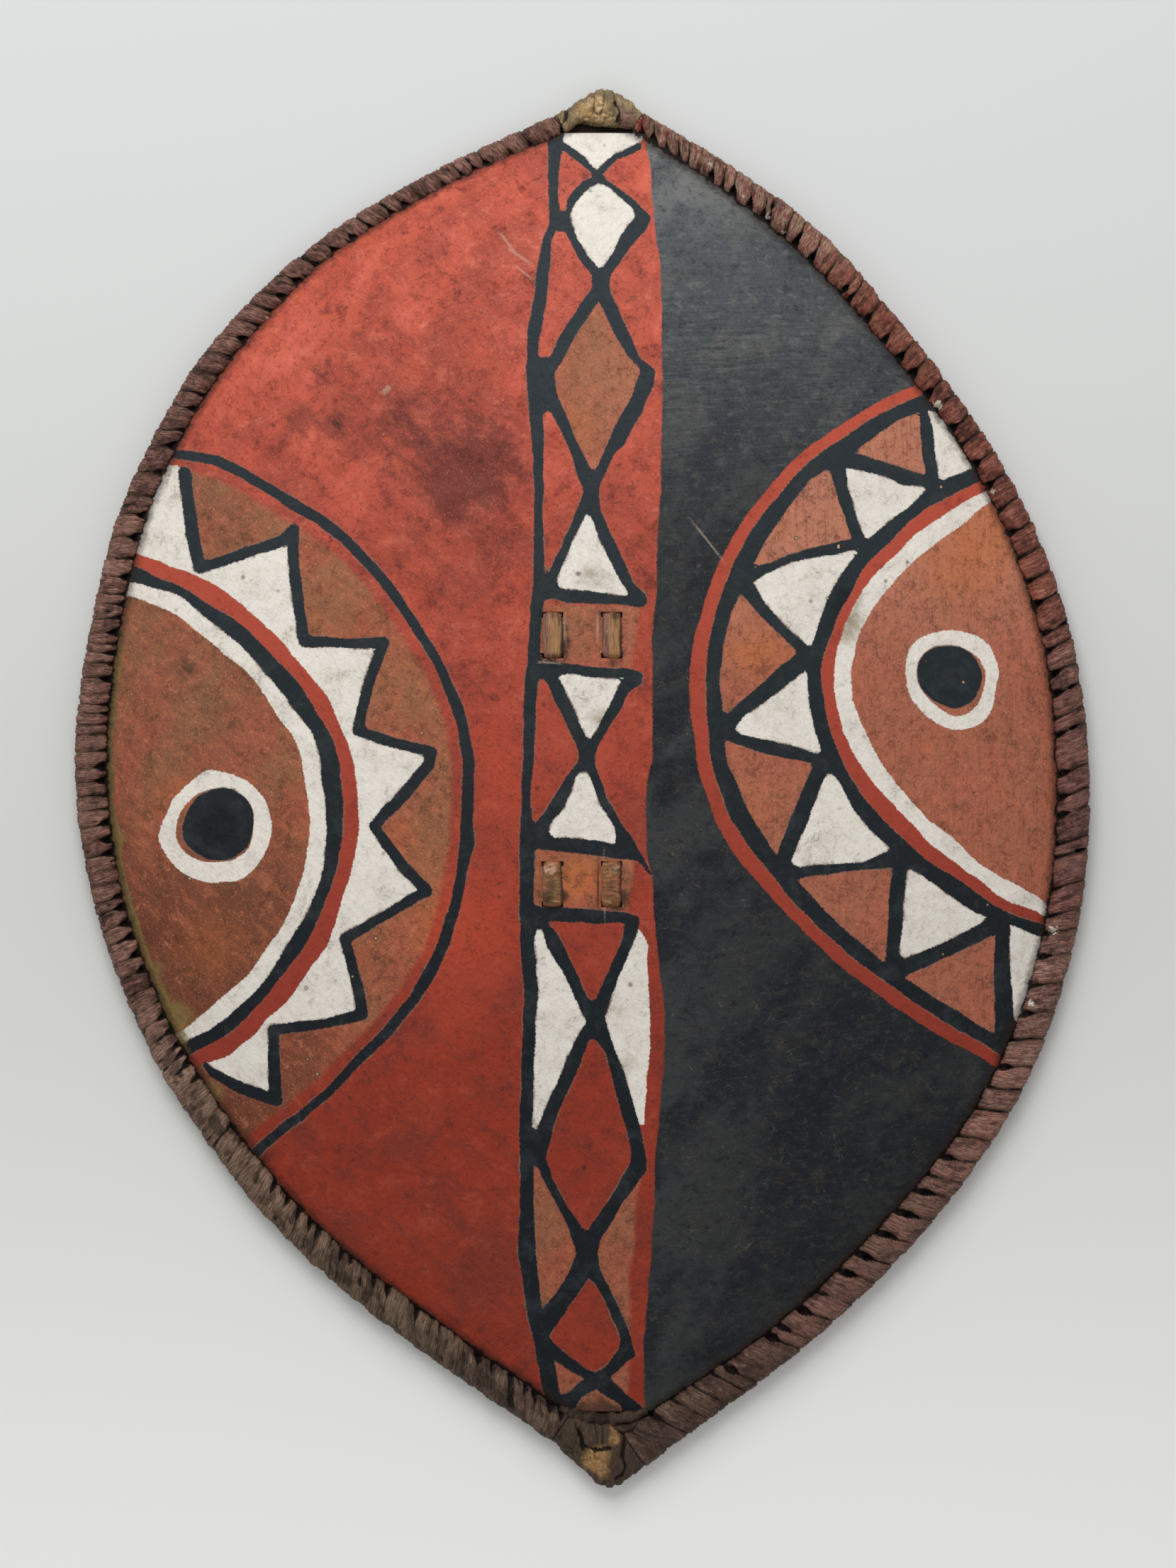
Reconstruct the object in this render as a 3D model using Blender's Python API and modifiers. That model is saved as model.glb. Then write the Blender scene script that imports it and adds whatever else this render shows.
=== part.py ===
"""Painted hide shield, lying face up on its bound rim. Metres, +Z up, +Y to the shield's top."""
import math

import bmesh
import bpy
from mathutils import Matrix, Vector

MM = 0.001
GAP = 0.3 * MM

# Outline, in mm: height on the shield, hide edge left and right of the middle line, width of
# the left and the right binding there. The hide edge lies EDGE_TUCK inside the binding.
OUTLINE_STATIONS = (
    (422, -20, 44, 15.0, 14.0),
    (400, -71, 77, 14.0, 16.0),
    (350, -158, 140, 14.5, 20.0),
    (300, -211, 187, 17.0, 19.0),
    (200, -275, 260, 18.0, 18.5),
    (100, -302, 299, 20.5, 20.5),
    (15, -310, 309, 22.0, 22.5),
    (-100, -291, 299, 20.5, 22.5),
    (-200, -242, 261, 21.0, 22.5),
    (-300, -156, 180, 22.0, 25.0),
    (-350, -91, 126, 23.0, 24.0),
    (-400, -19, 54, 23.0, 27.0),
)
LEFT, RIGHT = 0, 1
HIDE_TOP, HIDE_BOTTOM = 421 * MM, -401 * MM
RIM_TOP = (428 * MM, 428 * MM)
RIM_BOTTOM = (-406 * MM, -418 * MM)

# Hide
HIDE_THICKNESS = 4 * MM
DOME_RISE = 75 * MM
DOME_TAPER = 1.3
HIDE_ROWS, HIDE_COLUMNS = 44, 16

# Binding
EDGE_TUCK = 5 * MM
GROOVE_CLEARANCE = 0.45 * MM
RIM_MAX_HALF_HEIGHT = 10.5 * MM
RIM_RINGS = 48
SECTION_SIDES = 12
FLAT_FACTOR = math.cos(math.pi / SECTION_SIDES)
CAP_GAP = 0.5 * MM

# Knots, in mm: x, y, half size across the binding, half height, turn of the section in degrees
TOP_KNOT_SECTIONS = ((2, 434.5, 10, 8.5, 12), (12.6, 437.4, 12.9, 10, 0), (24, 435, 11, 9, -14))
BOTTOM_KNOT_SECTIONS = ((3, -420.5, 17, 10.5, -22), (17.6, -427.3, 23.5, 11, 0))
KNOT_STEPS = 3

# Hand grip and the four thongs that tie its feet
GRIP_FOOT_HEIGHTS = (98.3 * MM, -61.7 * MM)
THONG_SIDE = 18.5 * MM
THONG_WIDTH = 11 * MM
THONG_THICKNESS = 2.4 * MM
THONG_LENGTH = 28 * MM
THONG_CORNER = 2.6 * MM
FOOT_TOP_DEPTH = 3.2 * MM
FOOT_THICKNESS = 8 * MM
SLIT_CLEARANCE = 0.4 * MM
# Grip stations from the foot's middle towards the bar's middle, in mm: way along, depth of the
# section's middle below the hide's middle, half width, half thickness, squareness
GRIP_STATIONS = (
    (-10.6, 7.2, 24.5, 3.4, 5.0),
    (-9.8, 7.2, 26.0, 4.0, 5.0),
    (8.6, 7.2, 26.0, 4.0, 5.0),
    (9.6, 7.3, 11.8, 4.0, 4.0),
    (14.5, 9.2, 11.4, 4.3, 3.2),
    (20.5, 15.5, 11.4, 5.2, 2.8),
    (26.0, 25.0, 12.0, 6.4, 2.5),
    (32.0, 34.5, 13.0, 7.6, 2.4),
    (41.0, 42.0, 14.0, 8.8, 2.3),
    (54.0, 45.4, 14.6, 9.6, 2.3),
    (67.0, 46.2, 14.9, 9.9, 2.3),
    (80.0, 46.4, 15.0, 10.0, 2.3),
)
GRIP_SIDES = 16


def clear_scene():
    for old in list(bpy.data.objects):
        bpy.data.objects.remove(old, do_unlink=True)


def new_collection(name):
    group = bpy.data.collections.new(name)
    bpy.context.scene.collection.children.link(group)
    return group


def new_material(name, colour, roughness):
    material = bpy.data.materials.new(name)
    material.use_nodes = True
    shader = material.node_tree.nodes["Principled BSDF"]
    shader.inputs["Base Color"].default_value = (*colour, 1.0)
    shader.inputs["Roughness"].default_value = roughness
    shader.inputs["Metallic"].default_value = 0.0
    return material


def object_from_bmesh(name, bm, material, group):
    mesh = bpy.data.meshes.new(name)
    bmesh.ops.recalc_face_normals(bm, faces=bm.faces)
    bm.to_mesh(mesh)
    bm.free()
    if material is not None:
        mesh.materials.append(material)
    made = bpy.data.objects.new(name, mesh)
    group.objects.link(made)
    return made


def shade_round(made):
    made.data.shade_smooth()
    made.data.set_sharp_from_angle(angle=math.radians(40))


def loft(name, rings, material, group):
    """Closed body through rings of points, with a cap at each end."""
    bm = bmesh.new()
    rows = [[bm.verts.new(point) for point in ring] for ring in rings]
    sides = len(rows[0])
    for low, high in zip(rows, rows[1:]):
        for i in range(sides):
            j = (i + 1) % sides
            bm.faces.new((low[i], low[j], high[j], high[i]))
    bm.faces.new(rows[0])
    bm.faces.new(rows[-1])
    made = object_from_bmesh(name, bm, material, group)
    shade_round(made)
    return made


# Outline of the hide


def station_value(column, height):
    """Smooth value of one column of the outline table at a height in metres."""
    heights = [row[0] * MM for row in OUTLINE_STATIONS]
    values = [row[column] * MM for row in OUTLINE_STATIONS]
    last = len(heights) - 1
    span = next((i for i in range(last) if height >= heights[i + 1]), last - 1)

    def span_slope(i):
        return (values[i + 1] - values[i]) / (heights[i + 1] - heights[i])

    def slope(i):
        if i in (0, last):
            return span_slope(min(i, last - 1))
        before, after = heights[i - 1] - heights[i], heights[i] - heights[i + 1]
        return (span_slope(i - 1) * after + span_slope(i) * before) / (before + after)

    length = heights[span + 1] - heights[span]
    t = (height - heights[span]) / length
    if not 0 <= t <= 1:
        end = span if t < 0 else span + 1
        return values[end] + slope(end) * (height - heights[end])
    start, finish = values[span], values[span + 1]
    rise = finish - start
    ease = t * t * (3 - 2 * t)
    bend = slope(span) * length * t * (1 - t) ** 2 - slope(span + 1) * length * t * t * (1 - t)
    return start + rise * ease + bend


def hide_edge(side, height):
    return Vector((station_value(1 + side, height), height))


def rim_width(side, height):
    return station_value(3 + side, height)


def inward(side, height):
    """Unit direction in plan from the binding towards the hide."""
    step = 2 * MM
    run = hide_edge(side, height - step) - hide_edge(side, height + step)
    across = Vector((-run.y, run.x)) if side == LEFT else Vector((run.y, -run.x))
    return across.normalized()


def rim_half_height(side, height):
    return min(rim_width(side, height) / 2, RIM_MAX_HALF_HEIGHT)


def edge_level(side, height):
    return rim_half_height(side, height) * FLAT_FACTOR


# Domed hide


def row_span(height):
    left, right = hide_edge(LEFT, height).x, hide_edge(RIGHT, height).x
    return (left + right) / 2, (right - left) / 2


WIDEST = max(row_span(height * MM)[1] for height in range(-400, 421, 5))


def hide_level(x, height):
    """Height above the floor of the hide's middle surface."""
    middle, half = row_span(height)
    across = (x - middle) / half
    level = edge_level(LEFT, height) * (1 - across) / 2 + edge_level(RIGHT, height) * (1 + across) / 2
    return level + DOME_RISE * (half / WIDEST) ** DOME_TAPER * (1 - across * across)


def spaced(fraction):
    """Even spacing drawn a little towards both ends, where the outline turns in faster."""
    return 0.5 * fraction + 0.5 * (1 - math.cos(math.pi * fraction)) / 2


def slit_cutters(group):
    bm = bmesh.new()
    size = (THONG_WIDTH + 2 * SLIT_CLEARANCE, THONG_THICKNESS + 2 * SLIT_CLEARANCE, 5 * HIDE_THICKNESS)
    reach = (THONG_LENGTH - THONG_THICKNESS) / 2
    for height in GRIP_FOOT_HEIGHTS:
        for sign in (-1, 1):
            for end in (-1, 1):
                local = Matrix.Translation((0, end * reach, 0)) @ Matrix.Diagonal((*size, 1))
                bmesh.ops.create_cube(bm, size=1, matrix=thong_place(sign, height) @ local)
    cutters = object_from_bmesh("slit_cutters", bm, None, group)
    cutters.hide_render = True
    cutters.display_type = "WIRE"
    return cutters


def make_hide(material, group, cutters):
    bm = bmesh.new()
    bmesh.ops.create_grid(bm, x_segments=HIDE_COLUMNS, y_segments=HIDE_ROWS, size=1)
    for vert in bm.verts:
        across, along = vert.co.x, spaced((vert.co.y + 1) / 2)
        height = HIDE_BOTTOM + (HIDE_TOP - HIDE_BOTTOM) * along
        middle, half = row_span(height)
        x = middle + half * across
        vert.co = (x, height, hide_level(x, height))
    hide = object_from_bmesh("hide_face", bm, material, group)
    if hide.data.polygons[0].normal.z < 0:
        hide.data.flip_normals()
    wall = hide.modifiers.new("wall", "SOLIDIFY")
    wall.thickness = HIDE_THICKNESS
    wall.offset = 0
    wall.use_even_offset = True
    slits = hide.modifiers.new("slits", "BOOLEAN")
    slits.operation = "DIFFERENCE"
    slits.solver = "EXACT"
    slits.object = cutters
    shade_round(hide)
    return hide


# Bound rim: an oval roll along each side, grooved on its inner side for the hide's edge


def oval_hit(start, direction, half_width, half_height):
    """Where a ray inside the oval section meets its outline."""
    a = (direction.x / half_width) ** 2 + (direction.y / half_height) ** 2
    b = 2 * (start.x * direction.x / half_width**2 + start.y * direction.y / half_height**2)
    c = (start.x / half_width) ** 2 + (start.y / half_height) ** 2 - 1
    way = (-b + math.sqrt(b * b - 4 * a * c)) / (2 * a)
    return start + direction * way


def rim_section(side, height):
    """Points of the grooved section, x towards the hide and y up, from its own middle."""
    half_width, half_height = rim_width(side, height) / 2, rim_half_height(side, height)
    lip = Vector((half_width - EDGE_TUCK, 0))
    edge, across = hide_edge(side, height), inward(side, height)
    probe = edge + across * EDGE_TUCK
    climb = hide_level(probe.x, min(max(probe.y, HIDE_BOTTOM), HIDE_TOP)) - edge_level(side, height)
    along = Vector((EDGE_TUCK, climb)).normalized()
    normal = Vector((-along.y, along.x))
    half_groove = HIDE_THICKNESS / 2 + GROOVE_CLEARANCE
    floor = lip - along * 2 * GROOVE_CLEARANCE
    upper, lower = floor + normal * half_groove, floor - normal * half_groove
    step = 2 * math.pi / SECTION_SIDES
    arc = [(i + 0.5) * step for i in range(2, SECTION_SIDES)]
    points = [oval_hit(upper, along, half_width, half_height)]
    points += [Vector((half_width * math.cos(a), half_height * math.sin(a))) for a in arc]
    points += [oval_hit(lower, along, half_width, half_height), lower, upper]
    return points


def rim_place(side, height):
    """Middle of the section, in plan, and the direction towards the hide."""
    across = inward(side, height)
    return hide_edge(side, height) - across * (rim_width(side, height) / 2 - EDGE_TUCK), across


def make_rim(name, side, material, group):
    rings = []
    for i in range(RIM_RINGS + 1):
        height = RIM_TOP[side] + (RIM_BOTTOM[side] - RIM_TOP[side]) * spaced(i / RIM_RINGS)
        middle, across = rim_place(side, height)
        level = edge_level(side, height)
        ring = [
            (*(middle + across * point.x), level + point.y) for point in rim_section(side, height)
        ]
        rings.append(ring)
    return loft(name, rings, material, group)


# Tied ends: a lump of knotted rawhide joins the two bindings at each tip


def knot_ring(middle, across, half_width, half_height):
    step = 2 * math.pi / SECTION_SIDES
    level = half_height * FLAT_FACTOR
    return [
        (
            *(middle + across * half_width * math.cos((i + 0.5) * step)),
            level + half_height * math.sin((i + 0.5) * step),
        )
        for i in range(SECTION_SIDES)
    ]


def knot_end(side, height, sign):
    """Ring that faces a binding's cut end across a small gap."""
    middle, across = rim_place(side, height)
    along = Vector((across.y, -across.x)) * sign
    shrink = 0.96
    size = rim_width(side, height) / 2 * shrink
    return knot_ring(middle + along * CAP_GAP, across, size, rim_half_height(side, height) * shrink)


def smooth_rings(rings, steps):
    """Rings added between the given ones, on smooth curves through their points."""
    points = [[Vector(point) for point in ring] for ring in rings]
    smooth = []
    for i in range(len(points) - 1):
        before, start = points[max(i - 1, 0)], points[i]
        finish, after = points[i + 1], points[min(i + 2, len(points) - 1)]
        for step in range(steps):
            t = step / steps
            ring = []
            for a, b, c, d in zip(before, start, finish, after):
                bend = (c - a) / 2 * t * (1 - t) ** 2 - (d - b) / 2 * t * t * (1 - t)
                ring.append(b.lerp(c, t * t * (3 - 2 * t)) + bend)
            smooth.append(ring)
    return smooth + [points[-1]]


def make_knot(name, heights, sections, inward_sign, material, group):
    """The knot runs from the left binding's end to the right one's."""
    rings = [knot_end(LEFT, heights[LEFT], inward_sign)]
    for x, y, half_width, half_height, turn in sections:
        across = Matrix.Rotation(math.radians(turn), 2) @ Vector((0, inward_sign))
        rings.append(knot_ring(Vector((x, y)) * MM, across, half_width * MM, half_height * MM))
    rings.append(knot_end(RIGHT, heights[RIGHT], -inward_sign))
    return loft(name, smooth_rings(rings, KNOT_STEPS), material, group)


# Hand grip behind the hide, and its thongs


def surface_tilt(height):
    step = 5 * MM
    return math.atan2(hide_level(0, height + step) - hide_level(0, height - step), 2 * step)


def thong_place(sign, height):
    x = sign * THONG_SIDE
    place = Matrix.Translation((x, height, hide_level(x, height)))
    return place @ Matrix.Rotation(surface_tilt(height), 4, "X")


def squared_ring(middle, across, up, half_width, half_height, squareness):
    """Ring between an oval and a rectangle: squareness 2 is an oval."""
    ring = []
    for i in range(GRIP_SIDES):
        angle = (i + 0.5) * 2 * math.pi / GRIP_SIDES
        c, s = math.cos(angle), math.sin(angle)
        x = math.copysign(abs(c) ** (2 / squareness), c) * half_width
        y = math.copysign(abs(s) ** (2 / squareness), s) * half_height
        ring.append(middle + across * x + up * y)
    return ring


def make_grip(material, group):
    top, bottom = GRIP_FOOT_HEIGHTS
    stations = [(top - way * MM, *rest) for way, *rest in GRIP_STATIONS]
    stations += [(bottom + way * MM, *rest) for way, *rest in reversed(GRIP_STATIONS[:-1])]
    centres = [Vector((0, y, hide_level(0, y) - depth * MM)) for y, depth, *_ in stations]
    rings = []
    for i, (_, _, half_width, half_height, squareness) in enumerate(stations):
        run = centres[min(i + 1, len(centres) - 1)] - centres[max(i - 1, 0)]
        up = Vector((1, 0, 0)).cross(-run).normalized()
        rings.append(
            squared_ring(centres[i], Vector((1, 0, 0)), up, half_width * MM, half_height * MM, squareness)
        )
    return loft("hand_grip", rings, material, group)


def make_thong(name, sign, height, material, group):
    """Flat strap that goes through two slits and round the grip's foot, its ends joined."""
    front = HIDE_THICKNESS / 2 + 2 * GAP + THONG_THICKNESS / 2
    back = FOOT_TOP_DEPTH + FOOT_THICKNESS + 2 * GAP + THONG_THICKNESS / 2
    reach = (THONG_LENGTH - THONG_THICKNESS) / 2
    bm = bmesh.new()
    corners = ((reach, front, 0), (-reach, front, 90), (-reach, -back, 180), (reach, -back, 270))
    outline = []
    for y, z, start in corners:
        middle = Vector((y - math.copysign(THONG_CORNER, y), z - math.copysign(THONG_CORNER, z)))
        for turn in (0, 30, 60, 90):
            angle = math.radians(start + turn)
            outline.append(middle + THONG_CORNER * Vector((math.cos(angle), math.sin(angle))))
    rows = [
        [bm.verts.new((x, point.x, point.y)) for point in outline]
        for x in (-THONG_WIDTH / 2, THONG_WIDTH / 2)
    ]
    count = len(outline)
    for i in range(count):
        j = (i + 1) % count
        bm.faces.new((rows[0][i], rows[0][j], rows[1][j], rows[1][i]))
    thong = object_from_bmesh(name, bm, material, group)
    thong.matrix_world = thong_place(sign, height)
    wall = thong.modifiers.new("strap", "SOLIDIFY")
    wall.thickness = THONG_THICKNESS
    wall.offset = 0
    wall.use_even_offset = True
    shade_round(thong)
    return thong


clear_scene()
shield = new_collection("hide_shield")
cutting = new_collection("cutters")

hide_skin = new_material("painted_hide", (0.45, 0.13, 0.08), 0.75)
binding = new_material("hide_binding", (0.13, 0.085, 0.07), 0.8)
rawhide = new_material("rawhide_knot", (0.28, 0.2, 0.1), 0.75)
wood = new_material("grip_wood", (0.17, 0.1, 0.055), 0.6)
strap = new_material("thong_leather", (0.2, 0.11, 0.07), 0.7)

make_hide(hide_skin, shield, slit_cutters(cutting))
make_rim("rim_binding_left", LEFT, binding, shield)
make_rim("rim_binding_right", RIGHT, binding, shield)
make_knot("top_knot", RIM_TOP, TOP_KNOT_SECTIONS, -1, rawhide, shield)
make_knot("bottom_knot", RIM_BOTTOM, BOTTOM_KNOT_SECTIONS, 1, rawhide, shield)
make_grip(wood, shield)
for level_name, level_height in zip(("upper", "lower"), GRIP_FOOT_HEIGHTS):
    make_thong(f"thong_{level_name}_left", -1, level_height, strap, shield)
    make_thong(f"thong_{level_name}_right", 1, level_height, strap, shield)
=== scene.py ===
import itertools
import math

import bmesh
import bpy
import numpy as np
from mathutils import Matrix


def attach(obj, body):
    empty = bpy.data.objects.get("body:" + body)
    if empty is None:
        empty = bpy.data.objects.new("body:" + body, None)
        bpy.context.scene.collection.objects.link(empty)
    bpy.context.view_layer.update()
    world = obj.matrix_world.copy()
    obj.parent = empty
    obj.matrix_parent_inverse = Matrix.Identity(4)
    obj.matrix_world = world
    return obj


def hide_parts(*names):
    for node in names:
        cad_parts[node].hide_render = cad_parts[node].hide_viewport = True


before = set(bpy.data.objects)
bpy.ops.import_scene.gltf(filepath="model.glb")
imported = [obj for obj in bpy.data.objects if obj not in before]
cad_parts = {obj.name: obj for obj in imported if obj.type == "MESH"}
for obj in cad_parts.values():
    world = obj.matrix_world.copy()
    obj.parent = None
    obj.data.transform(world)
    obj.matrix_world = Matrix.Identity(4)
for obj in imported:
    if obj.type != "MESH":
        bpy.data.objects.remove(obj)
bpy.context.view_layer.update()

# The view. The photo looks straight at the painted face, so the camera looks straight down on
# the shield. The painting was measured in photo pixels, and this view says where each one falls.
MM = 0.001
PHOTO_TALL = 2212
PIXEL_MM = 0.4573
VIEW_PIXEL = np.array((829.5, 1106.0))
SHIELD_MIDDLE_PIXEL = np.array((821.5, 1111.0))
VIEW_HEIGHT = 2500.0
RIM_LEVEL = 9.0
SENSOR_TALL = 36.0

eye_x = (VIEW_PIXEL[0] - SHIELD_MIDDLE_PIXEL[0]) * PIXEL_MM
eye_y = (SHIELD_MIDDLE_PIXEL[1] - VIEW_PIXEL[1]) * PIXEL_MM


def placed(name, data):
    made = bpy.data.objects.new(name, data)
    bpy.context.scene.collection.objects.link(made)
    return made


camera = placed("camera", bpy.data.cameras.new("camera"))
camera.location = (eye_x * MM, eye_y * MM, (VIEW_HEIGHT + RIM_LEVEL) * MM)
camera.data.sensor_fit = "VERTICAL"
camera.data.sensor_height = SENSOR_TALL
camera.data.lens = SENSOR_TALL * VIEW_HEIGHT / (PHOTO_TALL * PIXEL_MM)
bpy.context.scene.camera = camera
bpy.context.scene.view_settings.view_transform = "Standard"


def photo_place(points):
    """Photo pixels at which points on the shield, in mm, are seen."""
    x, y, z = np.moveaxis(points, -1, 0)
    nearer = VIEW_HEIGHT / (VIEW_HEIGHT + RIM_LEVEL - z) / PIXEL_MM
    return VIEW_PIXEL[0] + (x - eye_x) * nearer, VIEW_PIXEL[1] - (y - eye_y) * nearer


# Hide. One sheet of rawhide, dried over a form into a low dome, with a slit at each end of its
# four thong stitches. Its edge is held in the bound rim. Sizes are in mm.
OUTLINE_STATIONS = np.array((
    (422, -20, 44, 15.0, 14.0),
    (400, -71, 77, 14.0, 16.0),
    (350, -158, 140, 14.5, 20.0),
    (300, -211, 187, 17.0, 19.0),
    (200, -275, 260, 18.0, 18.5),
    (100, -302, 299, 20.5, 20.5),
    (15, -310, 309, 22.0, 22.5),
    (-100, -291, 299, 20.5, 22.5),
    (-200, -242, 261, 21.0, 22.5),
    (-300, -156, 180, 22.0, 25.0),
    (-350, -91, 126, 23.0, 24.0),
    (-400, -19, 54, 23.0, 27.0),
))
LEFT, RIGHT = 0, 1
HIDE_TOP, HIDE_BOTTOM = 421.0, -401.0
HIDE_THICKNESS = 4.0
DOME_RISE = 75.0
DOME_TAPER = 1.3
EDGE_TUCK = 5.0
RIM_MAX_HALF_HEIGHT = 10.5
EDGE_LEVEL_SHARE = math.cos(math.radians(15))
HIDE_ROWS, FRONT_COLUMNS, BACK_COLUMNS = 396, 208, 20
STITCH_HEIGHTS = (95.3, -60.3)
STITCH_SIDE = 18.5
THONG_WIDTH, THONG_THICKNESS, THONG_LENGTH = 12.4, 2.4, 28.0
SLIT_CLEARANCE = 0.4
GRIP_MIDDLE, GRIP_REACH = 18, (45, 125)
LOOSE_FROM_EDGE = (6, 30)
FOLDS_MIDDLE, FOLDS_FADE = (-95, 225), (40, 150)
DENTS = ((1.6, 95, 11), (0.9, 38, 12), (0.3, 13, 13), (0.12, 6, 14))


def outline(column, height):
    """One column of the outline's stations at any height, on a smooth curve through them."""
    heights, values = OUTLINE_STATIONS[:, 0], OUTLINE_STATIONS[:, column]
    gaps = np.diff(heights)
    slopes = np.diff(values) / gaps
    between = (slopes[:-1] * gaps[1:] + slopes[1:] * gaps[:-1]) / (gaps[1:] + gaps[:-1])
    bends = np.concatenate((slopes[:1], between, slopes[-1:]))
    height = np.asarray(height, float)
    span = np.clip(np.searchsorted(-heights, -height) - 1, 0, len(gaps) - 1)
    gap = gaps[span]
    t = np.clip((height - heights[span]) / gap, 0, 1)
    ease = t * t * (3 - 2 * t)
    lift = bends[span] * gap * t * (1 - t) ** 2 - bends[span + 1] * gap * t * t * (1 - t)
    beyond = height - np.clip(height, heights[-1], heights[0])
    run_on = beyond * np.where(beyond > 0, bends[0], bends[-1])
    return values[span] + (values[span + 1] - values[span]) * ease + lift + run_on


def rim_half_height(side, height):
    return np.minimum(outline(3 + side, height) / 2, RIM_MAX_HALF_HEIGHT)


def row_span(height):
    left, right = outline(1, height), outline(2, height)
    return (left + right) / 2, (right - left) / 2


widest = row_span(np.arange(HIDE_BOTTOM + 1, HIDE_TOP, 5))[1].max()


def hide_level(x, height):
    """Height above the floor of the middle of the hide's thickness."""
    middle, half = row_span(height)
    across = (x - middle) / half
    left, right = rim_half_height(LEFT, height), rim_half_height(RIGHT, height)
    edge = EDGE_LEVEL_SHARE * (left * (1 - across) + right * (1 + across)) / 2
    return edge + DOME_RISE * (half / widest) ** DOME_TAPER * (1 - across * across)


def lumps(u, v, size, seed):
    """Smooth unevenness from -1 to 1 over two lengths, the same in every run."""
    count, start_u, start_v = 257, 91.3, 47.7
    levels = np.random.default_rng(seed).uniform(-1, 1, (count, count))
    a, b = np.asarray(u) / size + start_u, np.asarray(v) / size + start_v
    i, j = np.floor(a).astype(int), np.floor(b).astype(int)
    s, t = a - i, b - j
    s, t = s * s * (3 - 2 * s), t * t * (3 - 2 * t)
    i, j, k, m = i % count, j % count, (i + 1) % count, (j + 1) % count
    near = levels[i, j] * (1 - s) + levels[k, j] * s
    return near * (1 - t) + (levels[i, m] * (1 - s) + levels[k, m] * s) * t


def unit(vectors):
    return vectors / np.linalg.norm(vectors, axis=-1, keepdims=True)


def eased(value, low, high):
    """0 below low, 1 above high and a smooth rise between."""
    t = np.clip((value - low) / (high - low), 0, 1)
    return t * t * (3 - 2 * t)


def spaced(count):
    """Even steps drawn a little towards both ends, where the outline turns in faster."""
    part = np.linspace(0, 1, count)
    return 0.5 * part + 0.25 * (1 - np.cos(np.pi * part))


def modelled(name, bm):
    made = placed(name, bpy.data.meshes.new(name))
    bm.to_mesh(made.data)
    bm.free()
    return made


def rolled(name, points, held=None, closed=False):
    """Skin through rings of points, in mm, rolled up from a flat grid. Open ends get a cap."""
    rings, around = points.shape[:2]
    bm = bmesh.new()
    steps = rings if closed else rings - 1
    bmesh.ops.create_grid(bm, x_segments=around, y_segments=steps, size=1)
    layers = {key: bm.verts.layers.float.new(key) for key in held or {}}
    for vert in bm.verts:
        i = round((vert.co.y + 1) / 2 * steps) % rings
        j = round((vert.co.x + 1) / 2 * around) % around
        vert.co = points[i, j] * MM
        for key, layer in layers.items():
            vert[layer] = held[key][i, j]
    bmesh.ops.remove_doubles(bm, verts=bm.verts, dist=0.001 * MM)
    open_edges = [edge for edge in bm.edges if edge.is_boundary]
    if open_edges:
        bmesh.ops.holes_fill(bm, edges=open_edges, sides=0)
    bmesh.ops.recalc_face_normals(bm, faces=bm.faces)
    made = modelled(name, bm)
    made.data.shade_smooth()
    return made


heights = HIDE_TOP + (HIDE_BOTTOM - HIDE_TOP) * spaced(HIDE_ROWS + 1)
to_right, to_left = np.linspace(-1, 1, FRONT_COLUMNS + 1), np.linspace(1, -1, BACK_COLUMNS + 1)
across = np.concatenate((to_right, to_left))
face_side = np.concatenate((np.ones_like(to_right), -np.ones_like(to_left)))
hide_middle, hide_half = row_span(heights)
hide_y = np.repeat(heights[:, None], len(across), axis=1)
hide_x = hide_middle[:, None] + hide_half[:, None] * across
slope_x = (hide_level(hide_x + 1, hide_y) - hide_level(hide_x - 1, hide_y)) / 2
slope_y = (hide_level(hide_x, hide_y + 1) - hide_level(hide_x, hide_y - 1)) / 2
edge_slope = np.gradient(hide_half, heights)[:, None]
from_edge = hide_half[:, None] * (1 - np.abs(across)) / np.sqrt(1 + edge_slope**2)
from_grip = np.hypot(hide_x / GRIP_REACH[0], (hide_y - GRIP_MIDDLE) / GRIP_REACH[1])
loose = eased(from_edge, *LOOSE_FROM_EDGE) * eased(from_grip, 0.85, 1.5)
from_folds = np.hypot(hide_x - FOLDS_MIDDLE[0], hide_y - FOLDS_MIDDLE[1])
folded = 1 - eased(from_folds, *FOLDS_FADE)
downhill, uphill = (hide_x - hide_y) * 0.7, (hide_x + hide_y) * 0.7
dents = sum(depth * lumps(hide_x, hide_y, size, seed) for depth, size, seed in DENTS)
folds = 1.1 * lumps(downhill / 3.2, uphill, 17, 15) + 0.8 * lumps(downhill, uphill / 3, 14, 16)
dents = loose * (dents + folded * folds)
normal = unit(np.stack((-slope_x, -slope_y, np.ones_like(slope_x)), axis=-1))
hide_points = np.stack((hide_x, hide_y, hide_level(hide_x, hide_y)), axis=-1)
hide_points += normal * (dents + face_side * HIDE_THICKNESS / 2)[..., None]

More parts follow.
